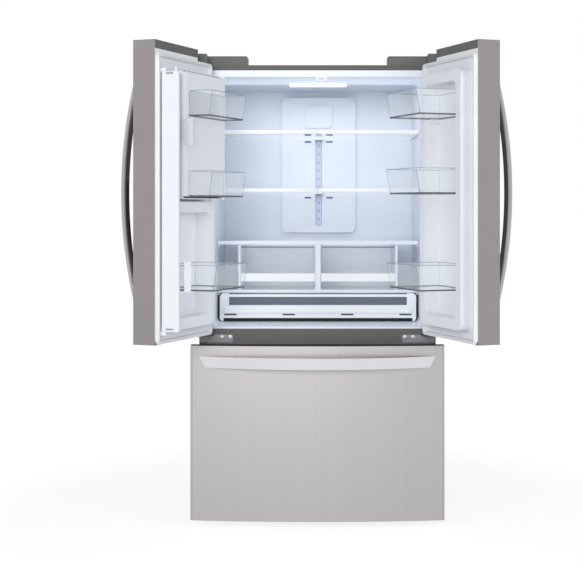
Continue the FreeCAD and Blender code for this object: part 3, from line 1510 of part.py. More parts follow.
# every feature has to stand before anything is written
for item in doc.Objects:
    if "Invalid" in item.State or "Error" in item.State:
        raise RuntimeError("failed feature: " + item.Label)
    if item.TypeId == "PartDesign::Pocket":
        base = item.BaseFeature.Shape
        if item.Shape.Volume >= base.Volume:
            raise RuntimeError("pocket cuts nothing: " + item.Label)
for label, body in pieces.items():
    if body.Shape.isNull() or not body.Shape.isValid():
        raise RuntimeError("bad shape: " + label)

os.makedirs("parts", exist_ok=True)
for label, body in pieces.items():
    body.Shape.exportStep("parts/%s.step" % label)
print(len(pieces), "sub-parts; depth of the origin behind the cabinet front", round(box.Center.y, 3))
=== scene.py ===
"""Looks of a three-door refrigerator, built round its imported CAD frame.

Lengths are in millimetres and are drawn with the upper doors shut: X to the right, Y to the
back from the cabinet's front plane, Z up from the floor. Each piece is then put where the
frame has it at rest, with the doors open.
"""
import json
import logging
import math
from dataclasses import dataclass, field
from enum import Enum
from typing import Callable, Optional, Protocol, Sequence

import bmesh
import bpy
from mathutils import Matrix, Vector


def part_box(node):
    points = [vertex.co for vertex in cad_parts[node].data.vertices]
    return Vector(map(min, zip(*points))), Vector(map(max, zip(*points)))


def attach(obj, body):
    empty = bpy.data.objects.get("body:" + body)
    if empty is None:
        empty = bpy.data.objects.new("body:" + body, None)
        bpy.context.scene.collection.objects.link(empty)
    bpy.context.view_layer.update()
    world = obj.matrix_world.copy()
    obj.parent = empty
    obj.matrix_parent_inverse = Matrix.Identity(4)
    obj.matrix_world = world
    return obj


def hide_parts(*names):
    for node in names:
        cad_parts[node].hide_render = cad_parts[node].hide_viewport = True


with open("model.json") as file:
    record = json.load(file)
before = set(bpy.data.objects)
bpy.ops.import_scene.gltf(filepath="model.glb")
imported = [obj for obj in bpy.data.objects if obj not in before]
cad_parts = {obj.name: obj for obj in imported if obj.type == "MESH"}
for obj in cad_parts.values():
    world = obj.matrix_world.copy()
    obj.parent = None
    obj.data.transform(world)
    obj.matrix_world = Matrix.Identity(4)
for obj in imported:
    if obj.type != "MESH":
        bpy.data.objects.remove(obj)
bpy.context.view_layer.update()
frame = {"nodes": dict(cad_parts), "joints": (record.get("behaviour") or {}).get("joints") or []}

LOG = logging.getLogger("refrigerator")
WHITE = "#ffffff"
# One millimetre in metres
MM = 0.001
# Share of a direction that lies along an axis when a face or an edge points that way
FACING = 0.9
# The same for an edge that leans a little
STEEP = 0.8
# Millimetres within which two places count as one
TOUCH = 0.1
# Metres within which two corners are merged
MERGE = 1e-6
# Degrees under which an edge is shaded smooth
SMOOTH = 35.0
Triple = tuple[float, float, float]
Test = Callable[[Vector, Vector], bool]
Tree = bpy.types.NodeTree
Socket = bpy.types.NodeSocket


def linear(code: str) -> tuple[float, float, float, float]:
    """Turn an sRGB hex colour into linear light.

    Args:
        code: Six hex digits after a hash.

    Returns:
        Red, green and blue, and full opacity.
    """
    parts = [int(code[i:i + 2], 16) / 255 for i in (1, 3, 5)]
    bent = [p / 12.92 if p <= 0.04045 else ((p + 0.055) / 1.055) ** 2.4 for p in parts]
    return (bent[0], bent[1], bent[2], 1.0)


def add(tree: Tree, kind: str, settings: Optional[dict] = None,
        sockets: Optional[dict] = None) -> bpy.types.Node:
    """Add one shader node with its settings, values and links.

    Args:
        tree: The tree to add to.
        kind: The node's type, without the common prefix.
        settings: Attributes to set on the node.
        sockets: For each input, a value or the output that feeds it.

    Returns:
        The new node.
    """
    node = tree.nodes.new("ShaderNode" + kind)
    for key, value in (settings or {}).items():
        setattr(node, key, value)
    for key, value in (sockets or {}).items():
        if isinstance(value, Socket):
            tree.links.new(value, node.inputs[key])
        else:
            node.inputs[key].default_value = value
    return node


def per_mm(size: float) -> float:
    """Pattern scale, in features per metre, for a feature of that many millimetres."""
    return 1 / (size * MM)


def near(a: float, b: float) -> bool:
    """Whether two places along an axis, in millimetres, are one."""
    return abs(a - b) < TOUCH


# Finishes


@dataclass(frozen=True)
class Finish:
    """A finish with one even colour; the kinds below add their pattern.

    A pattern leads to the second colour, makes the surface duller or glossier than its roughness,
    and stands in relief by a share of a depth in millimetres.
    """

    name: str
    colour: str
    roughness: float
    metallic: float = 0.0
    ior: float = 1.5
    coat: float = 0.0
    second: str = WHITE
    duller: float = 0.0
    glossier: float = 0.0
    relief: float = 0.0
    relief_mm: float = 0.0

    def constants(self) -> dict:
        """Values that are the same all over the surface."""
        return {"Base Color": linear(self.colour), "Roughness": self.roughness,
                "Metallic": self.metallic, "IOR": self.ior, "Coat Weight": self.coat}

    def pattern(self, tree: Tree, at: Socket) -> dict:
        """Outputs that vary over the surface, by the shader input they feed."""
        return {}

    def vary(self, tree: Tree, tone: Optional[Socket] = None, gloss: Optional[Socket] = None,
             height: Optional[Socket] = None) -> dict:
        """Let textures drive the colour, the gloss and the relief.

        Args:
            tree: The tree to add to.
            tone: Texture that leads from the first colour to the second.
            gloss: Texture that leads from the glossiest to the dullest.
            height: Texture that stands in relief.

        Returns:
            The outputs, by the shader input they feed.
        """
        fed = {}
        if tone is not None:
            fed["Base Color"] = add(tree, "Mix", {"data_type": "RGBA"}, {
                0: tone, 6: linear(self.colour), 7: linear(self.second)}).outputs[2]
        if gloss is not None:
            fed["Roughness"] = add(tree, "MapRange", sockets={
                "Value": gloss, "To Min": self.roughness - self.glossier,
                "To Max": self.roughness + self.duller}).outputs[0]
        if height is not None:
            fed["Normal"] = add(tree, "Bump", sockets={
                "Strength": self.relief, "Distance": self.relief_mm * MM, "Height": height}).outputs[0]
        return fed

    def material(self) -> bpy.types.Material:
        """The finish as a material, made on first use.

        Returns:
            The material.
        """
        made = bpy.data.materials.get(self.name)
        if made:
            return made
        made = bpy.data.materials.new(self.name)
        made.use_nodes = True
        tree = made.node_tree
        tree.nodes.clear()
        varied = self.pattern(tree, add(tree, "TexCoord").outputs["Object"])
        shader = add(tree, "BsdfPrincipled", sockets={**self.constants(), **varied})
        add(tree, "OutputMaterial", sockets={"Surface": shader.outputs[0]})
        return made

    def light(self, piece: bpy.types.Object) -> None:
        """Say how a piece in this finish stands in the light; most pieces block it."""
        piece.visible_shadow = piece.visible_diffuse = True


@dataclass(frozen=True)
class BrushedSteel(Finish):
    """Cold-rolled stainless sheet, belt-brushed upright: a soft sheen streaked along the grain."""

    second: str = "#adaaab"
    duller: float = 0.08
    glossier: float = 0.06
    relief: float = 0.05
    relief_mm: float = 0.2
    grain_mm: float = 0.6
    band_mm: float = 14.0
    stretch: float = 0.004

    def pattern(self, tree: Tree, at: Socket) -> dict:
        """Fine hairlines, and wide faint bands; the hairlines are drawn coarse enough to show.

        Args:
            tree: The tree to add to.
            at: Where on the object, in metres.

        Returns:
            The outputs for colour, roughness and normal.
        """
        along = add(tree, "Mapping", sockets={"Vector": at, "Scale": (1.0, 1.0, self.stretch)}).outputs[0]
        hair = add(tree, "TexNoise", sockets={"Vector": along, "Scale": per_mm(self.grain_mm), "Detail": 3.0})
        band = add(tree, "TexNoise", sockets={"Vector": along, "Scale": per_mm(self.band_mm), "Detail": 2.0})
        return self.vary(tree, band.outputs["Fac"], hair.outputs["Fac"], hair.outputs["Fac"])


@dataclass(frozen=True)
class Moulded(Finish):
    """Injection-moulded or vacuum-formed plastic: even colour under a fine spark-eroded grain."""

    duller: float = 0.07
    glossier: float = 0.05
    relief: float = 0.1
    relief_mm: float = 0.3
    grain_mm: float = 1.2
    cloud_mm: float = 160.0

    def pattern(self, tree: Tree, at: Socket) -> dict:
        """Pebble grain in the bump, drawn coarse enough to show, and a slow drift of tone and gloss.

        Args:
            tree: The tree to add to.
            at: Where on the object, in metres.

        Returns:
            The outputs for colour, roughness and normal.
        """
        grain = add(tree, "TexNoise", sockets={"Vector": at, "Scale": per_mm(self.grain_mm), "Detail": 2.0})
        cloud = add(tree, "TexNoise", sockets={"Vector": at, "Scale": per_mm(self.cloud_mm), "Detail": 1.0})
        return self.vary(tree, cloud.outputs["Fac"], grain.outputs["Fac"], grain.outputs["Fac"])


@dataclass(frozen=True)
class Coated(Moulded):
    """Powder-coated steel: a low orange peel about two millimetres across."""

    relief: float = 0.25
    grain_mm: float = 2.2


@dataclass(frozen=True)
class ZincPlate(Finish):
    """Galvanised sheet: a metal grey with faint crystal patches some millimetres across."""

    second: str = "#8f9396"
    duller: float = 0.1
    glossier: float = 0.08
    spangle_mm: float = 9.0

    def pattern(self, tree: Tree, at: Socket) -> dict:
        """Crystal patches that differ in tone and gloss.

        Args:
            tree: The tree to add to.
            at: Where on the object, in metres.

        Returns:
            The outputs for colour and roughness.
        """
        flake = add(tree, "TexVoronoi", sockets={"Vector": at, "Scale": per_mm(self.spangle_mm)})
        grey = add(tree, "RGBToBW", sockets={"Color": flake.outputs["Color"]}).outputs[0]
        return self.vary(tree, grey, grey)


@dataclass(frozen=True)
class Polished(Finish):
    """Polished metal bar: a bright mirror whose gloss the polishing wheel left a little uneven."""

    duller: float = 0.04
    glossier: float = 0.04
    mark_mm: float = 5.0

    def pattern(self, tree: Tree, at: Socket) -> dict:
        """Polishing marks in the gloss."""
        mark = add(tree, "TexNoise", sockets={"Vector": at, "Scale": per_mm(self.mark_mm), "Detail": 3.0})
        return self.vary(tree, gloss=mark.outputs["Fac"])


@dataclass(frozen=True)
class Clear(Finish):
    """Clear moulded plastic or tempered glass: a thin see-through wall with a faint tint and gloss."""

    relief: float = 0.02
    relief_mm: float = 1.0
    alpha: float = 0.12
    ripple_mm: float = 40.0

    def constants(self) -> dict:
        """As any finish, with most of the light let through."""
        return {**super().constants(), "Alpha": self.alpha}

    def pattern(self, tree: Tree, at: Socket) -> dict:
        """The slow ripple of a moulded or rolled surface."""
        wave = add(tree, "TexNoise", sockets={"Vector": at, "Scale": per_mm(self.ripple_mm), "Detail": 1.0})
        return self.vary(tree, height=wave.outputs["Fac"])

    def light(self, piece: bpy.types.Object) -> None:
        """A clear wall lets the light by, so what stands behind it stays as bright."""
        piece.visible_shadow = piece.visible_diffuse = False


@dataclass(frozen=True)
class Foam(Finish):
    """Rigid foam between the walls: pale, matt, with cells under a millimetre drawn coarser to show."""

    second: str = "#d8cc9c"
    relief: float = 0.3
    relief_mm: float = 0.6
    cell_mm: float = 3.0

    def pattern(self, tree: Tree, at: Socket) -> dict:
        """Open cells in tone and bump."""
        cell = add(tree, "TexVoronoi", sockets={"Vector": at, "Scale": per_mm(self.cell_mm)})
        return self.vary(tree, cell.outputs["Distance"], height=cell.outputs["Distance"])


@dataclass(frozen=True)
class Lit(Finish):
    """Frosted lamp cover, lit from within."""

    glow: str = "#f2f7ff"
    strength: float = 0.3
    swing_share: float = 0.2
    frost_mm: float = 7.0

    def constants(self) -> dict:
        """As any finish, with the colour of its glow."""
        return {**super().constants(), "Emission Color": linear(self.glow)}

    def pattern(self, tree: Tree, at: Socket) -> dict:
        """A glow that wavers a little where the frosting is thicker.

        Args:
            tree: The tree to add to.
            at: Where on the object, in metres.

        Returns:
            The output for the glow's strength.
        """
        frost = add(tree, "TexNoise", sockets={"Vector": at, "Scale": per_mm(self.frost_mm), "Detail": 2.0})
        shine = add(tree, "MapRange", sockets={"Value": frost.outputs["Fac"],
                                               "To Min": self.strength * (1 - self.swing_share),
                                               "To Max": self.strength * (1 + self.swing_share)})
        return {"Emission Strength": shine.outputs[0]}


# Belt-brushed stainless sheet: upright streaks in a soft, slightly warm grey sheen
STAINLESS = BrushedSteel("brushed_stainless_sheet", "#b4b1b2", 0.36, metallic=1.0)
# Pre-coated sheet of the door sides: a flat silver grey beside the brushed front
SIDE_COAT = Coated("precoated_steel_side", "#888486", 0.5, second="#8e8a8c", metallic=0.2)
# Chrome plate, wheel-polished: a bright even band across the drawer
CHROME = Polished("polished_chrome_bar", "#d0d0d3", 0.16, metallic=1.0)
# The rolled edges of that bar, turned from the light, with their shade painted in: a thin dark outline
CHROME_PAINTED_SHADE = Polished("chrome_edge_painted_shade", "#77777b", 0.3, metallic=1.0)
# Stainless bar, satin-polished: a grey gleam along the bow of the door handles
SATIN = Polished("satin_steel_bar", "#aaaaac", 0.3, metallic=1.0)
# Pressed hinge plate with dulled plating: a mid grey that stands off the dark rail
HINGE = ZincPlate("hinge_plate_steel", "#7c7c7f", 0.45, metallic=0.7, second="#868689")
# Powder coat on the case: dark even grey with a low peel
CABINET_PAINT = Coated("grey_powder_coat", "#4a4a49", 0.5, second="#535352")
# The same coat on the rail over the drawer: a shade lighter and a little glossier
RAIL_PAINT = Coated("rail_powder_coat", "#525251", 0.45, second="#5a5a59")
# Galvanised sheet: cool grey metal in crystal patches
ZINC = ZincPlate("zinc_plated_steel", "#a3a6a8", 0.42, metallic=0.8)
# Screw heads in bright zinc: small light dots
SCREW = ZincPlate("bright_zinc_screw", "#cfd1d3", 0.35, metallic=0.6, second="#bfc2c4", spangle_mm=3.0)
# Stoved enamel on the compressor: deep black with a wet gloss
ENAMEL = Coated("black_enamel", "#191919", 0.3, second="#1f1f1f", coat=0.4)
# Polyurethane foam: pale yellow, matt and cellular
FOAM = Foam("rigid_foam", "#e6dcb4", 0.9)
# Vacuum-formed liner of the cold space: white with the cool inside light painted in, and a soft gloss
LINER = Moulded("white_liner_plastic", "#e2eaf5", 0.3, second="#e9f0f9", relief=0.05)
# Vacuum-formed liner of the doors: a more neutral white, since daylight reaches it
DOOR_LINER = Moulded("door_liner_plastic", "#dfe2e8", 0.32, second="#e8eaef", relief=0.05)
# Gloss-moulded trims and grips: the brightest white of the inside
TRIM_WHITE = Moulded("gloss_white_trim", "#f3f5f8", 0.22, second="#fafbfc", relief=0.03)
# Clear polystyrene: hardly more than a veil and a gloss
CLEAR = Clear("clear_moulded_plastic", "#dbe2e9", 0.06, ior=1.49, alpha=0.13)
# A clear bin's rim and corners, looked at along the wall: fine grey lines
CLEAR_RIM = Clear("clear_bin_rim", "#7f8a94", 0.1, ior=1.49, alpha=0.5)
# Clear pane with the painted shade of the drawer behind it: a smoky blue strip
SHADED_PANE = Clear("clear_window_pane", "#5d6677", 0.08, ior=1.49, alpha=0.75)
# Thick cut edges of clear plastic: slate lines that close to opaque; the same dark plastic paints the shadow
# lines under the drawers' covers
SMOKE = Moulded("bin_edge_plastic", "#4c5259", 0.25, second="#585e66", relief=0.03)
# Tempered float glass: clear with a blue-green cast and a sharp gloss
GLASS = Clear("tempered_glass", "#d6e6ea", 0.03, ior=1.52, alpha=0.08, relief=0.01)
# Grained dark mouldings: dull charcoal
DARK = Moulded("dark_moulded_plastic", "#4a4b4a", 0.5, second="#545553")
# Grained hinge covers: dull warm grey, lighter than the case
COVER = Moulded("hinge_cover_plastic", "#575854", 0.5, second="#5f605c")
# Gloss-moulded dispenser front: black with clear reflections; also the black strips that paint the shade and
# dark reflection on the handles' door sides
BLACK = Moulded("black_gloss_plastic", "#202124", 0.25, second="#26272a", relief=0.03)
# Grained black cap, and the strip of painted shadow under the wide drawer: no gloss, so they read as shadow
# lines
MATT_BLACK = Moulded("matt_black_plastic", "#17181a", 0.85, second="#1d1e20")
# Extruded soft vinyl: off-white and matt
GASKET = Moulded("soft_vinyl_gasket", "#dfe1e3", 0.6, second="#e7e9ea", grain_mm=0.9)
# Painted shade in the channel behind the shelf rail: white moulding in blue shade
CHANNEL_SHADE = Moulded("channel_painted_shade", "#c3d4ea", 0.3, second="#d2e0f2", relief=0.04)
# Lips and slots of that rail, with painted blue shade: blue-grey outlines
RAIL_LIP = Moulded("rail_painted_shade", "#93a9ca", 0.35, second="#a2b6d3", relief=0.04)
# Painted shade on the walls inside the duct's vents: short blue-grey dashes
VENT = Moulded("vent_painted_shade", "#8094b4", 0.5, second="#8ca0be")
# Slots at the ends of the folding bar: neutral grey marks
BAR_SLOT = Moulded("grey_slot_plastic", "#868a90", 0.5, second="#92969c")
# Painted shade inside the finger notches of the wide drawer: dark dashes
SLOT = Moulded("slot_dark_plastic", "#3f454e", 0.5, second="#484e57")
# Satin-moulded latch: a shade darker than the panel it lies on
LATCH = Moulded("satin_latch_plastic", "#c4c9d0", 0.35, second="#ced3d9", relief=0.04)
# Frosted cover over the ceiling lamp: an even white glow
LAMP = Lit("frosted_lamp_cover", "#f4f8ff", 0.5)


# Places and shaping


class Place(Enum):
    """What a piece is drawn on, with the doors shut."""

    CABINET = "cabinet"
    LEFT = "left_door"
    RIGHT = "right_door"
    DRAWER = "freezer_drawer"

    def matrix(self) -> Matrix:
        """From the drawing with shut doors to the frame at rest.

        Returns:
            The move, in metres.
        """
        front = Matrix.Translation((0.0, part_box("cabinet_wrapper")[0].y, 0.0))
        if self in (Place.CABINET, Place.DRAWER):
            return front
        joint = next(j for j in frame["joints"] if j["child"] == self.value)
        pin = Matrix.Translation(joint["pos_m"])
        swing = Matrix.Rotation(-math.radians(joint["range_deg"][0]), 4, Vector(joint["axis"]))
        return pin @ swing @ pin.inverted() @ front

    def box(self, node: str) -> tuple[Vector, Vector]:
        """Corners of a CAD node as drawn, in millimetres.

        Args:
            node: The node's name.

        Returns:
            The lowest and the highest corner.
        """
        back = self.matrix().inverted()
        spots = [back @ v.co / MM for v in frame["nodes"][node].data.vertices]
        return (Vector([min(s[i] for s in spots) for i in range(3)]),
                Vector([max(s[i] for s in spots) for i in range(3)]))


class Shaper:
    """One new piece, shaped with Blender's own operators, in millimetres."""

    def __init__(self, name: str) -> None:
        """Take the primitive that was just added as the piece's start."""
        self.piece = bpy.context.object
        self.piece.name = self.piece.data.name = name

    @staticmethod
    def clear() -> None:
        """Leave edit mode and deselect everything."""
        if bpy.context.mode != "OBJECT":
            bpy.ops.object.mode_set(mode="OBJECT")
        bpy.ops.object.select_all(action="DESELECT")

    @classmethod
    def block(cls, name: str, low: Sequence[float], high: Sequence[float]) -> "Shaper":
        """Start from a cube at its size and place.

        Args:
            name: The piece's name.
            low: Lowest corner.
            high: Highest corner.

        Returns:
            The piece to shape.
        """
        cls.clear()
        low, high = Vector(low) * MM, Vector(high) * MM
        bpy.ops.mesh.primitive_cube_add(size=1.0, location=(low + high) / 2)
        made = cls(name)
        made.piece.scale = high - low
        bpy.ops.object.transform_apply(location=True, rotation=True, scale=True)
        return made

    @classmethod
    def sheet(cls, name: str, low: Sequence[float], high: Sequence[float]) -> "Shaper":
        """Start from an upright plane that faces the back.

        Args:
            name: The piece's name.
            low: Lowest corner.
            high: Highest corner, at the same Y.

        Returns:
            The piece to shape.
        """
        cls.clear()
        low, high = Vector(low) * MM, Vector(high) * MM
        bpy.ops.mesh.primitive_plane_add(size=1.0, location=(low + high) / 2,
                                         rotation=(-math.pi / 2, 0.0, 0.0))
        made = cls(name)
        made.piece.scale = (high.x - low.x, high.z - low.z, 1.0)
        bpy.ops.object.transform_apply(location=True, rotation=True, scale=True)
        return made

    @classmethod
    def rod(cls, name: str, radius: float, length: float, sides: int = 16) -> "Shaper":
        """Start from an upright cylinder that stands on the origin.

        Args:
            name: The piece's name.
            radius: Its radius.
            length: Its height.
            sides: Number of flats.

        Returns:
            The piece to shape.
        """
        cls.clear()
        bpy.ops.mesh.primitive_cylinder_add(vertices=sides, radius=radius * MM, depth=length * MM,
                                            location=(0.0, 0.0, length * MM / 2))
        made = cls(name)
        bpy.ops.object.transform_apply(location=True, rotation=True, scale=True)
        return made

    def pick(self, test: Test, kind: str = "FACE") -> "Shaper":
        """Select faces, edges or corners by their place and direction.

        Args:
            test: Says yes by the middle in millimetres, and the normal or the edge's direction.
            kind: FACE, EDGE or VERT.

        Returns:
            The same piece.
        """
        bpy.context.view_layer.objects.active = self.piece
        if bpy.context.mode == "OBJECT":
            bpy.ops.object.mode_set(mode="EDIT")
        bpy.ops.mesh.select_mode(type=kind)
        bpy.ops.mesh.select_all(action="DESELECT")
        mesh = bmesh.from_edit_mesh(self.piece.data)
        if kind == "FACE":
            for part in mesh.faces:
                part.select_set(test(part.calc_center_median() / MM, part.normal))
        elif kind == "EDGE":
            for part in mesh.edges:
                a, b = (v.co for v in part.verts)
                part.select_set(test((a + b) / 2 / MM, (b - a).normalized()))
        else:
            for part in mesh.verts:
                part.select_set(test(part.co / MM, part.normal))
        bmesh.update_edit_mesh(self.piece.data)
        return self

    def inset(self, width: float, rise: float = 0.0) -> "Shaper":
        """Inset the picked face, and raise it along its normal."""
        bpy.ops.mesh.inset(thickness=width * MM, depth=rise * MM)
        return self

    def extrude(self, step: Sequence[float]) -> "Shaper":
        """Extrude what is picked by a step."""
        bpy.ops.mesh.extrude_region_move(TRANSFORM_OT_translate={"value": Vector(step) * MM})
        return self

    def bevel(self, width: float, steps: int = 3, corners: bool = False) -> "Shaper":
        """Round the picked edges or corners."""
        bpy.ops.mesh.bevel(offset=width * MM, segments=steps, affect="VERTICES" if corners else "EDGES")
        return self

    def drop(self) -> "Shaper":
        """Delete the picked faces."""
        bpy.ops.mesh.delete(type="FACE")
        return self

    def bridge(self) -> "Shaper":
        """Close a ring by joining its two open rims.

        Returns:
            The same piece.
        """
        bpy.ops.mesh.select_mode(type="EDGE")
        bpy.ops.mesh.select_all(action="DESELECT")
        bpy.ops.mesh.select_non_manifold()
        bpy.ops.mesh.bridge_edge_loops()
        return self

    def spin(self, turn: float, centre: Sequence[float], axis: Triple, steps: int) -> "Shaper":
        """Sweep the picked face round an axis.

        Args:
            turn: Angle in degrees.
            centre: A point on the axis.
            axis: Its direction.
            steps: Number of sections.

        Returns:
            The same piece.
        """
        bpy.ops.mesh.spin(steps=steps, angle=math.radians(turn), center=Vector(centre) * MM, axis=axis)
        return self

    def modify(self, kind: str, **settings: object) -> "Shaper":
        """Add a modifier and apply it.

        Args:
            kind: The modifier's type.
            settings: Its settings, by name.

        Returns:
            The same piece.
        """
        self.clear()
        bpy.context.view_layer.objects.active = self.piece
        self.piece.select_set(True)
        modifier = self.piece.modifiers.new(kind.lower(), kind)
        for key, value in settings.items():
            setattr(modifier, key, value)
        bpy.ops.object.modifier_apply(modifier=modifier.name)
        return self

    def stamp(self, moves: Sequence[Matrix]) -> "Shaper":
        """Repeat the piece, each copy with its own mesh, joined into one.

        Args:
            moves: Where each copy goes, in metres.

        Returns:
            The same piece, at all these places.
        """
        self.clear()
        copies = []
        for move in moves:
            copy = self.piece.copy()
            copy.data = self.piece.data.copy()
            copy.data.transform(move)
            bpy.context.scene.collection.objects.link(copy)
            copies.append(copy)
        name = self.piece.name
        bpy.data.objects.remove(self.piece)
        for copy in copies:
            copy.select_set(True)
        bpy.context.view_layer.objects.active = copies[0]
        if len(copies) > 1:
            bpy.ops.object.join()
        self.piece = copies[0]
        self.piece.name = self.piece.data.name = name
        return self

    def done(self, place: Place, finish: Finish, slot: str, body: Optional[str] = None,
             replaces: Sequence[str] = ()) -> None:
        """Put the piece where the frame has it, dress it and hang it on its body.

        Args:
            place: What it was drawn on.
            finish: Its finish.
            slot: The record's material slot; not used.
            body: The CAD body that carries it, if not the place's own.
            replaces: CAD nodes that it stands for.
        """
        if bpy.context.mode == "OBJECT":
            bpy.context.view_layer.objects.active = self.piece
            bpy.ops.object.mode_set(mode="EDIT")
        bpy.ops.mesh.select_all(action="SELECT")
        bpy.ops.mesh.remove_doubles(threshold=MERGE)
        bpy.ops.mesh.normals_make_consistent(inside=False)
        self.clear()
        piece = self.piece
        piece.select_set(True)
        bpy.context.view_layer.objects.active = piece
        piece.matrix_world = place.matrix()
        bpy.ops.object.transform_apply(location=True, rotation=True, scale=True)
        bpy.ops.object.shade_smooth_by_angle(angle=math.radians(SMOOTH))
        piece.data.materials.clear()
        piece.data.materials.append(finish.material())
        finish.light(piece)
        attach(piece, body or place.value)
        if replaces:
            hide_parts(*replaces)
        LOG.info("piece %s on %s, %d faces", piece.name, body or place.value, len(piece.data.polygons))


def dress(finish: Finish, *nodes: str) -> None:
    """Give whole CAD nodes one finish.

    Args:
        finish: The finish.
        nodes: The nodes' names.
    """
    for name in nodes:
        mesh = frame["nodes"][name].data
        mesh.materials.clear()
        mesh.materials.append(finish.material())
        finish.light(frame["nodes"][name])
        LOG.info("node %s in %s", name, finish.name)


def dress_part(finish: Finish, place: Place, node: str, test: Test) -> None:
    """Give some faces of a CAD node a second finish.

    Args:
        finish: The second finish.
        place: What the node is drawn on.
        node: The node's name.
        test: Says yes by a face's middle, in millimetres with the doors shut, and its normal.
    """
    mesh = frame["nodes"][node].data
    mesh.materials.append(finish.material())
    back = place.matrix().inverted()
    turn = back.to_3x3()
    last = len(mesh.materials) - 1
    for face in mesh.polygons:
        if test(back @ face.center / MM, turn @ face.normal):
            face.material_index = last


# Small pieces that repeat


@dataclass(frozen=True)
class PanHeads:
    """Pan-head screws: a domed head with a sunk drive."""

    radius: float = 4.5
    height: float = 2.6
    side_share: float = 0.6
    dome_width_share: float = 0.2
    dome_rise_shares: tuple[float, float] = (0.3, 0.1)
    drive_rim_share: float = 0.22
    drive_wall_share: float = 0.05
    drive_depth_share: float = 0.5

    def build(self, name: str, place: Place, spots: Sequence[Triple], axis: Triple) -> None:
        """Model one head and stamp it at every spot.

        Args:
            name: The piece's name.
            place: What they are drawn on.
            spots: Where each head meets the sheet.
            axis: Which way the heads point.
        """
        head = Shaper.rod(name, self.radius, self.height * self.side_share)
        head.pick(lambda c, n: n.z > FACING)
        for rise_share in self.dome_rise_shares:
            head.inset(self.radius * self.dome_width_share, self.height * rise_share)
        head.inset(self.radius * self.drive_rim_share)
        head.inset(self.radius * self.drive_wall_share, -self.height * self.drive_depth_share)
        turn = Vector((0, 0, 1)).rotation_difference(Vector(axis)).to_matrix().to_4x4()
        head.stamp([Matrix.Translation(Vector(spot) * MM) @ turn for spot in spots])
        head.done(place, SCREW, "zinc_steel")


@dataclass(frozen=True)
class BinEdges:
    """The dark cut edges that a clear bin shows along its floor, its rim and its corners."""

    slant: float = 14.0
    grow: float = 0.3
    floor_height: float = 5.0
    floor_gauge: float = 0.6
    floor_reach: float = 0.8
    rim_height: float = 2.4
    rim_width: float = 3.6
    post_half: float = 1.0
    post_round_share: float = 0.6

    def build(self, name: str, place: Place, low: Vector, high: Vector, body: Optional[str] = None) -> None:
        """Model the edges of one bin, whose front leans out by the slant.

        Args:
            name: The bin's name.
            place: What it is drawn on.
            low: Its lowest corner.
            high: Its highest corner.
            body: The CAD body that carries it, if not the place's own.
        """
        grow, half = self.grow, self.post_half
        base = Shaper.block(name + "_floor_edge", low - Vector((grow, grow, grow)),
                            (high.x + grow, high.y - self.slant + self.floor_reach + grow,
                             low.z + self.floor_height))
        base.pick(lambda c, n: abs(n.z) > FACING).drop()
        base.modify("SOLIDIFY", thickness=self.floor_gauge * MM, offset=-1.0)
        base.done(place, SMOKE, "clear_plastic", body)
        rim = Shaper.block(name + "_rim", (low.x - grow, low.y - grow, high.z - self.rim_height),
                           high + Vector((grow, grow, grow)))
        rim.pick(lambda c, n: abs(n.z) > FACING).inset(self.rim_width).drop().bridge()
        rim.done(place, CLEAR_RIM, "clear_plastic", body)
        foot = low.z + self.floor_height
        ends = (low.x + half - grow, high.x - half + grow)
        for word, start, lean in (("front", high.y - self.slant, self.slant), ("back", low.y, 0.0)):
            post = Shaper.block(name + "_" + word + "_corners", (-half, start - half, foot),
                                (half, start + half, foot + self.floor_height))
            post.pick(lambda c, n: n.z > FACING).extrude((0.0, lean, high.z - foot - self.floor_height))
            post.pick(lambda c, d: abs(d.z) > STEEP, "EDGE").bevel(half * self.post_round_share, steps=2)
            post.stamp([Matrix.Translation((end * MM, 0.0, 0.0)) for end in ends])
            post.done(place, CLEAR_RIM, "clear_plastic", body)


@dataclass(frozen=True)
class Seal:
    """A bellows seal with a sealing lip and a magnet groove; each fold, inwards, has a width and a rise."""

    folds: Sequence[tuple[float, float]] = ((0.8, 8.0), (1.2, 4.0), (3.5, 0.0), (1.0, -3.0), (1.5, 0.0),
                                            (1.0, 3.0), (2.0, 0.0), (1.2, -4.0), (0.79, -7.9))
    corner: float = 17.0
    corner_steps: int = 5

    def build(self, name: str, place: Place, node: str) -> None:
        """Fold the seal up from a sheet with round corners, in place of the plain ring.

        Args:
            name: The piece's name.
            place: What it is drawn on.
            node: The CAD ring that it stands for.
        """
        low, high = place.box(node)
        ring = Shaper.sheet(name, low, (high.x, low.y, high.z))
        ring.pick(lambda c, n: True, "VERT").bevel(self.corner, self.corner_steps, corners=True)
        ring.pick(lambda c, n: True)
        for width, rise in self.folds:
            ring.inset(width, rise)
        ring.drop().bridge()
        ring.done(place, GASKET, "gasket", replaces=[node])


@dataclass(frozen=True)
class GapShadowLine:
    """A dark line of painted shadow along the top of a drawer's front, in the gap under its cover."""

    inset: float
    proud: float
    sunk: float
    rounding: float
    height: float = 4.0

    def build(self, name: str, node: str, front: float) -> None:
        """Model the shadow line of one drawer.

        Args:
            name: The piece's name.
            node: The drawer's name, which is its body's too.
            front: Where its clear front lies.
        """
        low, high = Place.CABINET.box(node)
        edge = Shaper.block(name, (low.x + self.inset, front - self.proud, high.z - self.height),
                            (high.x - self.inset, front + self.sunk, high.z))
        edge.pick(lambda c, d: c.y < front and abs(d.x) > FACING, "EDGE").bevel(self.rounding, steps=2)
        # painted shadow in dark plastic, along the gap under the cover
        edge.done(Place.CABINET, SMOKE, "clear_plastic", body=node)


# Sub-assemblies


class SubAssembly(Protocol):
    """What every sub-assembly can do."""

    def dress(self) -> None:
        """Give its CAD nodes their finishes."""

    def build(self) -> None:
        """Model the pieces that the frame doesn't have."""


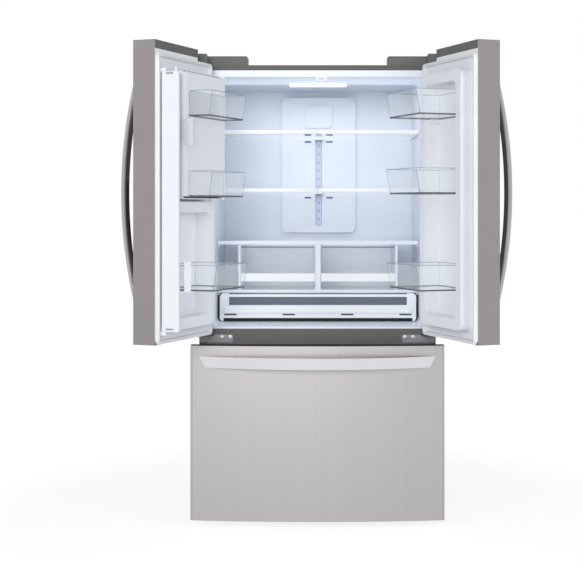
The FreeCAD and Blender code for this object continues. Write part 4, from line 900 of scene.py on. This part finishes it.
@dataclass
class Cabinet:
    """Painted shell, hinges with their covers, toe grille and the machine compartment."""

    sheet_screw: PanHeads = PanHeads()
    screw_inset: float = 14.0
    rear_pitch: float = 262.0
    rear_count: int = 6
    machine_inset: float = 9.0
    hinge_screw: PanHeads = PanHeads(radius=7.5, height=3.2)
    hinge_gauge: float = 3.0
    hinge_rise: float = 20.0
    hinge_insets: Sequence[float] = (10.0, 40.0)
    cover_inset: float = 34.0
    cover_depth: float = 44.0

    def dress(self) -> None:
        """Give the cabinet's own nodes their finishes."""
        dress(CABINET_PAINT, "cabinet_wrapper", "rear_panel")
        dress(RAIL_PAINT, "mullion_rail")
        dress(ZINC, "base_pan", "machine_cover", "left_top_hinge", "right_top_hinge", "freezer_slides")
        dress(HINGE, "left_lower_hinge", "right_lower_hinge")
        dress(FOAM, "foam_insulation")
        dress(ENAMEL, "compressor")
        dress(DARK, "toe_grille", "levelling_feet")
        dress(COVER, "left_hinge_cover", "right_hinge_cover")
        dress(LINER, "freezer_liner")

    def build(self) -> None:
        """Add the fasteners that show."""
        place = Place.CABINET
        for side, hand in (("left", -1), ("right", 1)):
            low, high = place.box(side + "_lower_hinge")
            inner = low.x if hand > 0 else high.x
            spots = [(inner + hand * inset, -self.hinge_gauge, low.z + self.hinge_rise)
                     for inset in self.hinge_insets]
            self.hinge_screw.build(side + "_lower_hinge_screws", place, spots, (0, -1, 0))
            low, high = place.box(side + "_hinge_cover")
            inner = low.x if hand > 0 else high.x
            spots = [(inner + hand * self.cover_inset, self.cover_depth, high.z)]
            self.sheet_screw.build(side + "_hinge_cover_screw", place, spots, (0, 0, 1))
        low, high = place.box("rear_panel")
        spots = [(x, high.y, low.z + self.screw_inset + index * self.rear_pitch)
                 for index in range(self.rear_count)
                 for x in (low.x + self.screw_inset, high.x - self.screw_inset)]
        self.sheet_screw.build("rear_panel_screws", place, spots, (0, 1, 0))
        low, high = place.box("machine_cover")
        spots = [(x, high.y, z) for x in (low.x + self.screw_inset, 0.0, high.x - self.screw_inset)
                 for z in (low.z + self.machine_inset, high.z - self.machine_inset)]
        self.sheet_screw.build("machine_cover_screws", place, spots, (0, 1, 0))


@dataclass
class FreshFood:
    """Fresh-food liner with its lamp, the folding bar's guide and the glass shelves."""

    shelves: Sequence[str] = ("upper_shelf_left", "upper_shelf_right", "middle_shelf_left",
                              "middle_shelf_right")
    glass: float = 5.0
    pane_setback: float = 6.0
    pane_round: float = 0.8
    trim_depth: float = 14.0
    trim_proud: float = 0.6
    trim_undercut: float = 7.0
    trim_round: float = 1.6

    def dress(self) -> None:
        """Give the compartment's own nodes their finishes."""
        dress(LINER, "fresh_food_liner", "mullion_guide")
        dress(LAMP, "ceiling_lamp")

    def build(self) -> None:
        """Model each shelf as a pane in its moulded front trim."""
        for node in self.shelves:
            low, high = Place.CABINET.box(node)
            back = low.y + self.trim_depth
            pane = Shaper.block(node + "_pane", (low.x, low.y + self.pane_setback, high.z - self.glass), high)
            pane.pick(lambda c, d: True, "EDGE").bevel(self.pane_round, steps=2)
            pane.done(Place.CABINET, GLASS, "shelf_glass", replaces=[node])
            trim = Shaper.block(node + "_trim", low, (high.x, back, high.z + self.trim_proud))
            trim.pick(lambda c, d, y=back, z=low.z: near(c.y, y) and near(c.z, z), "EDGE")
            trim.bevel(self.trim_undercut, steps=1)
            trim.pick(lambda c, d, y=low.y: near(c.y, y), "EDGE").bevel(self.trim_round, steps=3)
            trim.done(Place.CABINET, TRIM_WHITE, "white_liner")


@dataclass
class AirDuct:
    """Rear duct with its vents, and the shelf rail in its middle channel."""

    depth: float = 18.0
    skin: float = 1.0
    channel_half: float = 11.0
    channel_depth: float = 8.0
    channel_drop: float = 130.0
    vent_near: float = 25.0
    vent_far: float = 60.0
    rail_foot: float = 30.0
    rail_length: float = 370.0
    lip_width: float = 1.8
    lip_proud: float = 0.8
    lip_sunk: float = 0.4
    lip_round_share: float = 0.8
    slot_half: float = 3.0
    slot_length: float = 9.0
    slot_pitch: float = 33.0
    slot_margin: float = 20.0
    slot_proud: float = 0.5
    slot_sunk: float = 0.6
    slot_rim: float = 0.9
    slot_recess: float = 0.2

    def dress(self) -> None:
        """Give the duct its finish, with painted blue shade in the channel and in the vents."""
        dress(LINER, "air_duct_cover")
        high = Place.CABINET.box("air_duct_cover")[1]
        face = high.y - self.depth
        # painted shade: the faces inside the channel
        dress_part(CHANNEL_SHADE, Place.CABINET, "air_duct_cover",
                   lambda c, n: abs(c.x) < self.channel_half - TOUCH and c.y > face + self.skin
                   and c.z < high.z - self.channel_drop)
        # painted shade: the walls inside the vents
        dress_part(VENT, Place.CABINET, "air_duct_cover",
                   lambda c, n: self.vent_near < abs(c.x) < self.vent_far
                   and face + self.skin / 2 < c.y < high.y - self.skin)

    def build(self) -> None:
        """Model the lip round the channel, and the slots that the shelf hooks hang in, both in painted blue
        shade.
        """
        low, high = Place.CABINET.box("air_duct_cover")
        face = high.y - self.depth
        foot, head = low.z + self.rail_foot, low.z + self.rail_foot + self.rail_length
        half = self.channel_half + self.lip_width
        lip = Shaper.block("shelf_rail_lip", (-half, face - self.lip_proud, foot - self.lip_width),
                           (half, face + self.lip_sunk, head + self.lip_width))
        lip.pick(lambda c, d: abs(d.y) > FACING, "EDGE").bevel(half * self.lip_round_share, steps=5)
        lip.pick(lambda c, n: abs(n.y) > FACING).inset(self.lip_width).drop().bridge()
        # painted blue shade along the channel's edge
        lip.done(Place.CABINET, RAIL_LIP, "white_liner")
        floor = face + self.channel_depth
        slot = Shaper.block("shelf_rail_slots", (-self.slot_half, floor - self.slot_proud, 0.0),
                            (self.slot_half, floor + self.slot_sunk, self.slot_length))
        slot.pick(lambda c, n: n.y < -FACING).inset(self.slot_rim, -self.slot_recess)
        count = int((self.rail_length - 2 * self.slot_margin) / self.slot_pitch) + 1
        levels = [foot + self.slot_margin + index * self.slot_pitch for index in range(count)]
        slot.stamp([Matrix.Translation((0.0, 0.0, level * MM)) for level in levels])
        # painted shade in the hook slots
        slot.done(Place.CABINET, RAIL_LIP, "white_liner")


@dataclass
class Crispers:
    """Two clear crispers with white grips, under their glass cover."""

    nodes: Sequence[str] = ("left_crisper", "right_crisper")
    grip_depth: float = 9.0
    grip_skin: float = 0.5
    top_edge: GapShadowLine = GapShadowLine(inset=2.0, proud=0.4, sunk=2.0, rounding=0.6)

    def dress(self) -> None:
        """Give the crispers clear walls and white grips, and their cover a glass top."""
        dress(LINER, "crisper_cover")
        dress_part(GLASS, Place.CABINET, "crisper_cover", lambda c, n: abs(n.z) > FACING)
        dress(CLEAR, *self.nodes)
        for node in self.nodes:
            face = Place.CABINET.box(node)[0].y + self.grip_depth - self.grip_skin
            dress_part(TRIM_WHITE, Place.CABINET, node, lambda c, n, y=face: c.y < y)

    def build(self) -> None:
        """Model the line of painted shadow along the top of each crisper."""
        for node in self.nodes:
            self.top_edge.build(node + "_top_edge", node, Place.CABINET.box(node)[0].y + self.grip_depth)


@dataclass
class Pantry:
    """Full-width drawer with a clear window in its front, under its own glass cover."""

    grip_depth: float = 9.0
    window_share: float = 0.58
    window_inset: float = 35.0
    window_rail: float = 14.0
    window_setback: float = 1.5
    window_gauge: float = 2.5
    window_rim: float = 3.0
    window_step: float = 1.0
    window_recess: float = 0.8
    foot_shadow_inset: float = 14.0
    foot_shadow_height: float = 13.0
    foot_shadow_clear: float = 0.4
    foot_shadow_proud: float = 0.6
    foot_shadow_sunk: float = 1.0
    toe_rim: float = 0.8
    foot_shadow_recess: float = 0.4
    top_edge: GapShadowLine = GapShadowLine(inset=35.0, proud=0.5, sunk=1.2, rounding=0.5)
    notch_near: float = 0.2
    notch_far: float = 3.3
    notch_shares: tuple[float, float] = (0.2, 0.29)

    def dress(self) -> None:
        """Give the drawer its gloss, its notches their painted shade, and its cover a glass top."""
        dress(LINER, "pantry_cover")
        dress_part(GLASS, Place.CABINET, "pantry_cover", lambda c, n: abs(n.z) > FACING)
        dress(TRIM_WHITE, "pantry_drawer")
        low, high = Place.CABINET.box("pantry_drawer")
        front = low.y + self.grip_depth
        foot, head = (low.z + (high.z - low.z) * share for share in self.notch_shares)
        # painted shade on the walls inside the finger notches
        dress_part(SLOT, Place.CABINET, "pantry_drawer",
                   lambda c, n: front + self.notch_near < c.y < front + self.notch_far and foot < c.z < head)

    def build(self) -> None:
        """Model the window let into the front, and strips of painted shadow at the foot and along the top of
        the front.
        """
        place, body = Place.CABINET, "pantry_drawer"
        low, high = place.box(body)
        front = low.y + self.grip_depth
        start, sill = front + self.window_setback, low.z + (high.z - low.z) * self.window_share
        pane = Shaper.block("pantry_window", (low.x + self.window_inset, start, sill),
                            (high.x - self.window_inset, start + self.window_gauge,
                             high.z - self.window_rail))
        pane.pick(lambda c, n: n.y < -FACING).inset(self.window_rim)
        pane.inset(self.window_step, -self.window_recess)
        # painted shade: the pane is drawn nearly opaque, dark as the shaded drawer behind it
        pane.done(place, SHADED_PANE, "clear_plastic", body)
        # painted shadow: a matt black strip where the gap under the drawer lies in shade
        toe = Shaper.block("pantry_toe_strip",
                           (low.x + self.foot_shadow_inset, front - self.foot_shadow_proud, low.z + self.foot_shadow_clear),
                           (high.x - self.foot_shadow_inset, front + self.foot_shadow_sunk, low.z + self.foot_shadow_height))
        toe.pick(lambda c, n: n.y < -FACING).inset(self.toe_rim, -self.foot_shadow_recess)
        toe.done(place, MATT_BLACK, "dark_plastic", body)
        self.top_edge.build("pantry_top_edge", body, front)


@dataclass
class Door:
    """An upper door: steel skin, moulded liner, caps, seal, bowed handle and clear bins."""

    place: Place
    bins: Sequence[str]
    bracket_depth: float = 0.0
    bracket_setback: float = 83.0
    bracket_gap: float = 0.3
    bracket_gauge: float = 4.0
    bracket_foot: float = 4.0
    bracket_head: float = 12.0
    bracket_round: float = 4.0
    bracket_rim: float = 2.0
    bracket_step: float = 0.8
    bracket_recess: float = 0.6
    bar_thick: float = 18.0
    bar_rise: float = 51.0
    # painted shade: a black strip where the bar's door side lies in shade and reflects the dark gap
    inlay_width: float = 25.0
    inlay_proud: float = 0.6
    inlay_sunk: float = 1.0
    inlay_seed: float = 1.0
    inlay_margin_deg: float = 3.2
    inlay_steps: int = 36
    door_seal: Seal = Seal()
    bin_edges: BinEdges = BinEdges()

    @property
    def side(self) -> str:
        """The word that starts the door's node names."""
        return self.place.value.split("_")[0]

    @property
    def hand(self) -> int:
        """One for the right door, minus one for the left."""
        return 1 if self.place is Place.RIGHT else -1

    def dress(self) -> None:
        """Give the door's own nodes their finishes."""
        dress(STAINLESS, self.side + "_door_skin")
        dress_part(SIDE_COAT, self.place, self.side + "_door_skin", lambda c, n: abs(n.x) > FACING)
        dress(DOOR_LINER, self.side + "_door_liner")
        dress(DARK, self.side + "_door_caps")
        dress(SATIN, self.side + "_door_handle")
        dress(CLEAR, *self.bins)

    def build(self) -> None:
        """Model the seal, the bins' edges, the handle's strip of painted shade and a bin's bracket where
        there is one.
        """
        self.door_seal.build(self.side + "_door_seal", self.place, self.side + "_door_gasket")
        for node in self.bins:
            self.bin_edges.build(node, self.place, *self.place.box(node))
        self.inlay()
        if self.bracket_depth:
            self.bracket(self.bins[0])

    def bracket(self, node: str) -> None:
        """The white end plate that holds a bin on the free side of the door.

        Args:
            node: The bin's name.
        """
        low, high = self.place.box(node)
        free = high.x if self.hand < 0 else low.x
        steps = (self.bracket_gap, self.bracket_gap + self.bracket_gauge)
        ends = sorted(free - self.hand * step for step in steps)
        front = low.y + self.bracket_setback
        plate = Shaper.block(node + "_bracket", (ends[0], front, low.z - self.bracket_foot),
                             (ends[1], front + self.bracket_depth, high.z + self.bracket_head))
        plate.pick(lambda c, d: abs(d.x) > FACING, "EDGE").bevel(self.bracket_round, steps=3)
        plate.pick(lambda c, n: abs(n.x) > FACING).inset(self.bracket_rim)
        plate.inset(self.bracket_step, -self.bracket_recess)
        plate.done(self.place, TRIM_WHITE, "white_liner")

    def inlay(self) -> None:
        """A black strip of painted shade and dark reflection on the side of the bar that faces the door,
        swept along its bow.
        """
        low, high = self.place.box(self.side + "_door_handle")
        half, middle = (high.z - low.z) / 2, (high.z + low.z) / 2
        crest = low.y + self.bar_thick
        bow = (half * half + self.bar_rise * self.bar_rise) / (2 * self.bar_rise)
        turn = 2 * math.degrees(math.asin(half / bow)) - self.inlay_margin_deg
        x = (low.x + high.x) / 2
        centre = (x, crest + bow - self.bar_thick / 2, middle)
        wide, tall = self.inlay_width / 2, self.inlay_seed / 2
        strip = Shaper.block(self.side + "_handle_inlay", (x - wide, crest - self.inlay_proud, middle - tall),
                             (x + wide, crest + self.inlay_sunk, middle + tall))
        strip.pick(lambda c, n: n.z < FACING).drop()
        strip.pick(lambda c, n: True)
        bpy.ops.transform.rotate(value=math.radians(-turn / 2), orient_axis="X",
                                 center_override=Vector(centre) * MM)
        strip.spin(turn, centre, (1, 0, 0), self.inlay_steps)
        # the black finish paints the shade of the bar's door side
        strip.done(self.place, BLACK, "dark_plastic")


@dataclass
class IceAndWater:
    """Ice compartment, folding bar and dispenser on the left door."""

    bin_height: float = 86.0
    bin_edges: BinEdges = BinEdges(slant=10.0)
    slot_reach: float = 26.0
    slot_height: float = 5.0
    slot_drop: float = 24.0
    slot_lift: float = 17.0
    slot_sunk: float = 1.0
    slot_proud: float = 0.5
    slot_rim: float = 0.8
    slot_recess: float = 0.3

    def dress(self) -> None:
        """Give these nodes their finishes; the bins' backs lie on the panel and take its own."""
        dress(DOOR_LINER, "ice_housing", "ice_door_panel", "folding_mullion")
        dress(LATCH, "ice_latch")
        dress(CLEAR, "ice_bin", "ice_door_bins")
        back = Place.LEFT.box("ice_door_bins")[0].y
        dress_part(DOOR_LINER, Place.LEFT, "ice_door_bins", lambda c, n: n.y < -FACING and near(c.y, back))
        dress(BLACK, "dispenser_housing")
        dress(DARK, "dispenser_paddle")

    def build(self) -> None:
        """Add the edges of the ice door's bins and the end slots of the folding bar."""
        low, high = Place.LEFT.box("ice_door_bins")
        for word, floor in (("upper", high.z - self.bin_height), ("lower", low.z)):
            self.bin_edges.build("ice_" + word + "_bin", Place.LEFT, Vector((low.x, low.y, floor)),
                                 Vector((high.x, high.y, floor + self.bin_height)), "ice_door")
        low, high = Place.LEFT.box("folding_mullion")
        start = (low.y + high.y - self.slot_reach) / 2
        for word, level in (("top", high.z - self.slot_drop), ("bottom", low.z + self.slot_lift)):
            slot = Shaper.block("bar_slot_" + word, (high.x - self.slot_sunk, start, level),
                                (high.x + self.slot_proud, start + self.slot_reach, level + self.slot_height))
            slot.pick(lambda c, n: n.x > FACING).inset(self.slot_rim, -self.slot_recess)
            slot.done(Place.LEFT, BAR_SLOT, "dark_plastic", body="folding_mullion")


@dataclass
class FreezerDrawer:
    """Drawer front with its bowed pull, seal, basket and tray."""

    drawer_seal: Seal = Seal()
    pull_shade_z: float = 0.7
    pull_shade_x: float = 0.8

    def dress(self) -> None:
        """Give the drawer's own nodes their finishes, and the pull's edges a darker one of painted shade."""
        dress(STAINLESS, "drawer_skin")
        dress(DOOR_LINER, "drawer_liner", "freezer_basket")
        dress(MATT_BLACK, "drawer_cap")
        dress(CHROME, "drawer_handle")
        # painted shade: the pull's top, bottom and end faces take a darker chrome
        dress_part(CHROME_PAINTED_SHADE, Place.DRAWER, "drawer_handle",
                   lambda c, n: abs(n.z) > self.pull_shade_z or abs(n.x) > self.pull_shade_x)
        dress(ZINC, "drawer_runners")
        dress(CLEAR, "freezer_tray")

    def build(self) -> None:
        """Model the seal."""
        self.drawer_seal.build("drawer_seal", Place.DRAWER, "drawer_gasket")


# Floor, light and camera


class Ray(Enum):
    """Kinds of ray that see the white surroundings."""

    CAMERA = "Is Camera Ray"
    GLOSSY = "Is Glossy Ray"
    TRANSMISSION = "Is Transmission Ray"


@dataclass
class Lamp:
    """One soft box: its place and size, in metres, and its power."""

    name: str
    spot: Triple
    size: tuple[float, float]
    power: float
    aim: Triple = (0.0, -0.2, 0.9)
    mirrored: bool = False

    def build(self) -> None:
        """Add the lamp and aim it."""
        light = bpy.data.lights.new(self.name, "AREA")
        light.shape = "RECTANGLE"
        light.size, light.size_y = self.size
        light.energy = self.power
        held = bpy.data.objects.new(self.name, light)
        held.location = self.spot
        held.visible_camera = False
        held.visible_glossy = self.mirrored
        held.rotation_euler = (Vector(self.aim) - Vector(self.spot)).to_track_quat("-Z", "Y").to_euler()
        bpy.context.scene.collection.objects.link(held)


@dataclass
class Studio:
    """Pale floor, soft light and the camera at the photograph's angle, placed in metres."""

    ambient: float = 0.36
    floor_size: float = 60.0
    floor_tone: str = "#f4f4f4"
    floor_white: float = 0.75
    floor_glow: float = 1.13
    fade_near: float = 1.1
    fade_far: float = 2.4
    lamps: Sequence[Lamp] = field(default_factory=lambda: (
        Lamp("key", (-0.7, -5.6, 2.3), (2.4, 1.8), 116.0, mirrored=True),
        Lamp("left_fill", (-3.2, -3.0, 1.9), (1.6, 2.0), 28.0),
        Lamp("right_fill", (3.2, -3.0, 1.9), (1.6, 2.0), 50.0),
        Lamp("inside", (0.0, 0.16, 1.6), (0.66, 0.3), 0.66, (0.0, 0.2, 0.8)),
        Lamp("upward", (0.0, 0.06, 1.53), (0.76, 0.3), 0.42, (0.0, 0.0, 1.65)),
        Lamp("low", (0.0, -0.6, 0.95), (0.5, 0.2), 0.4, (0.0, 0.1, 0.82))))
    camera_spot: Triple = (0.0367, -4.873, 1.145)
    focal_px: float = 1349.8
    frame_px: float = 583.0
    middle_px: tuple[float, float] = (327.7, 206.7)
    sensor_mm: float = 36.0
    far_clip: float = 100.0

    def seen(self, tree: Tree) -> Socket:
        """One for the rays that see white surroundings.

        Args:
            tree: The tree to add to.

        Returns:
            The output that says so.
        """
        path = add(tree, "LightPath")
        total = path.outputs[Ray.CAMERA.value]
        for ray in (Ray.GLOSSY, Ray.TRANSMISSION):
            total = add(tree, "Math", {"operation": "MAXIMUM"},
                        {0: total, 1: path.outputs[ray.value]}).outputs[0]
        return total

    def build(self) -> None:
        """Make the floor, the world, the lamps and the camera."""
        scene = bpy.context.scene
        scene.view_settings.view_transform = "Standard"
        self.floor()
        world = bpy.data.worlds.new("studio")
        scene.world = world
        world.use_nodes = True
        tree = world.node_tree
        tree.nodes.clear()
        soft = add(tree, "Background", sockets={"Color": linear(WHITE), "Strength": self.ambient})
        white = add(tree, "Background", sockets={"Color": linear(WHITE), "Strength": 1.0})
        both = add(tree, "MixShader", sockets={0: self.seen(tree), 1: soft.outputs[0], 2: white.outputs[0]})
        add(tree, "OutputWorld", sockets={"Surface": both.outputs[0]})
        for lamp in self.lamps:
            lamp.build()
        self.camera()

    def floor(self) -> None:
        """A wide pale floor that keeps the object's shadow."""
        Shaper.clear()
        bpy.ops.mesh.primitive_plane_add(size=self.floor_size)
        floor = bpy.context.object
        floor.name = "floor"
        made = bpy.data.materials.new("pale_floor")
        made.use_nodes = True
        tree = made.node_tree
        tree.nodes.clear()
        matt = add(tree, "BsdfDiffuse", sockets={"Color": linear(self.floor_tone)})
        glow = add(tree, "Emission", sockets={"Color": linear(WHITE), "Strength": self.floor_glow})
        place = add(tree, "TexCoord").outputs["Object"]
        far = add(tree, "VectorMath", {"operation": "LENGTH"}, {0: place})
        fade = add(tree, "MapRange", sockets={"Value": far.outputs["Value"], "From Min": self.fade_near,
                                              "From Max": self.fade_far, "To Min": self.floor_white,
                                              "To Max": 1.0})
        share = add(tree, "Math", {"operation": "MULTIPLY"}, {0: self.seen(tree), 1: fade.outputs[0]})
        both = add(tree, "MixShader", sockets={0: share.outputs[0], 1: matt.outputs[0], 2: glow.outputs[0]})
        add(tree, "OutputMaterial", sockets={"Surface": both.outputs[0]})
        floor.data.materials.append(made)

    def camera(self) -> None:
        """A level camera whose small shift frames the object as in the photograph."""
        lens = bpy.data.cameras.new("camera")
        lens.sensor_width = self.sensor_mm
        lens.lens = self.focal_px / self.frame_px * lens.sensor_width
        lens.shift_x = 0.5 - self.middle_px[0] / self.frame_px
        lens.shift_y = self.middle_px[1] / self.frame_px - 0.5
        lens.clip_end = self.far_clip
        held = bpy.data.objects.new("camera", lens)
        held.location = Vector(self.camera_spot) + Place.CABINET.matrix().to_translation()
        held.rotation_euler = (math.pi / 2, 0.0, 0.0)
        bpy.context.scene.collection.objects.link(held)
        bpy.context.scene.camera = held


def main() -> None:
    """Dress and build every sub-assembly, then the studio."""
    logging.basicConfig(level=logging.INFO, format="%(name)s: %(message)s")
    bins = ("right_upper_bin", "right_middle_bin", "right_lower_bin")
    parts: Sequence[SubAssembly] = (
        Cabinet(), FreshFood(), AirDuct(), Crispers(), Pantry(),
        Door(Place.LEFT, ("left_lower_bin",), bracket_depth=23.0), Door(Place.RIGHT, bins), IceAndWater(),
        FreezerDrawer())
    for part in parts:
        part.dress()
        part.build()
    Studio().build()
    Shaper.clear()


if __name__ == "__main__":
    main()
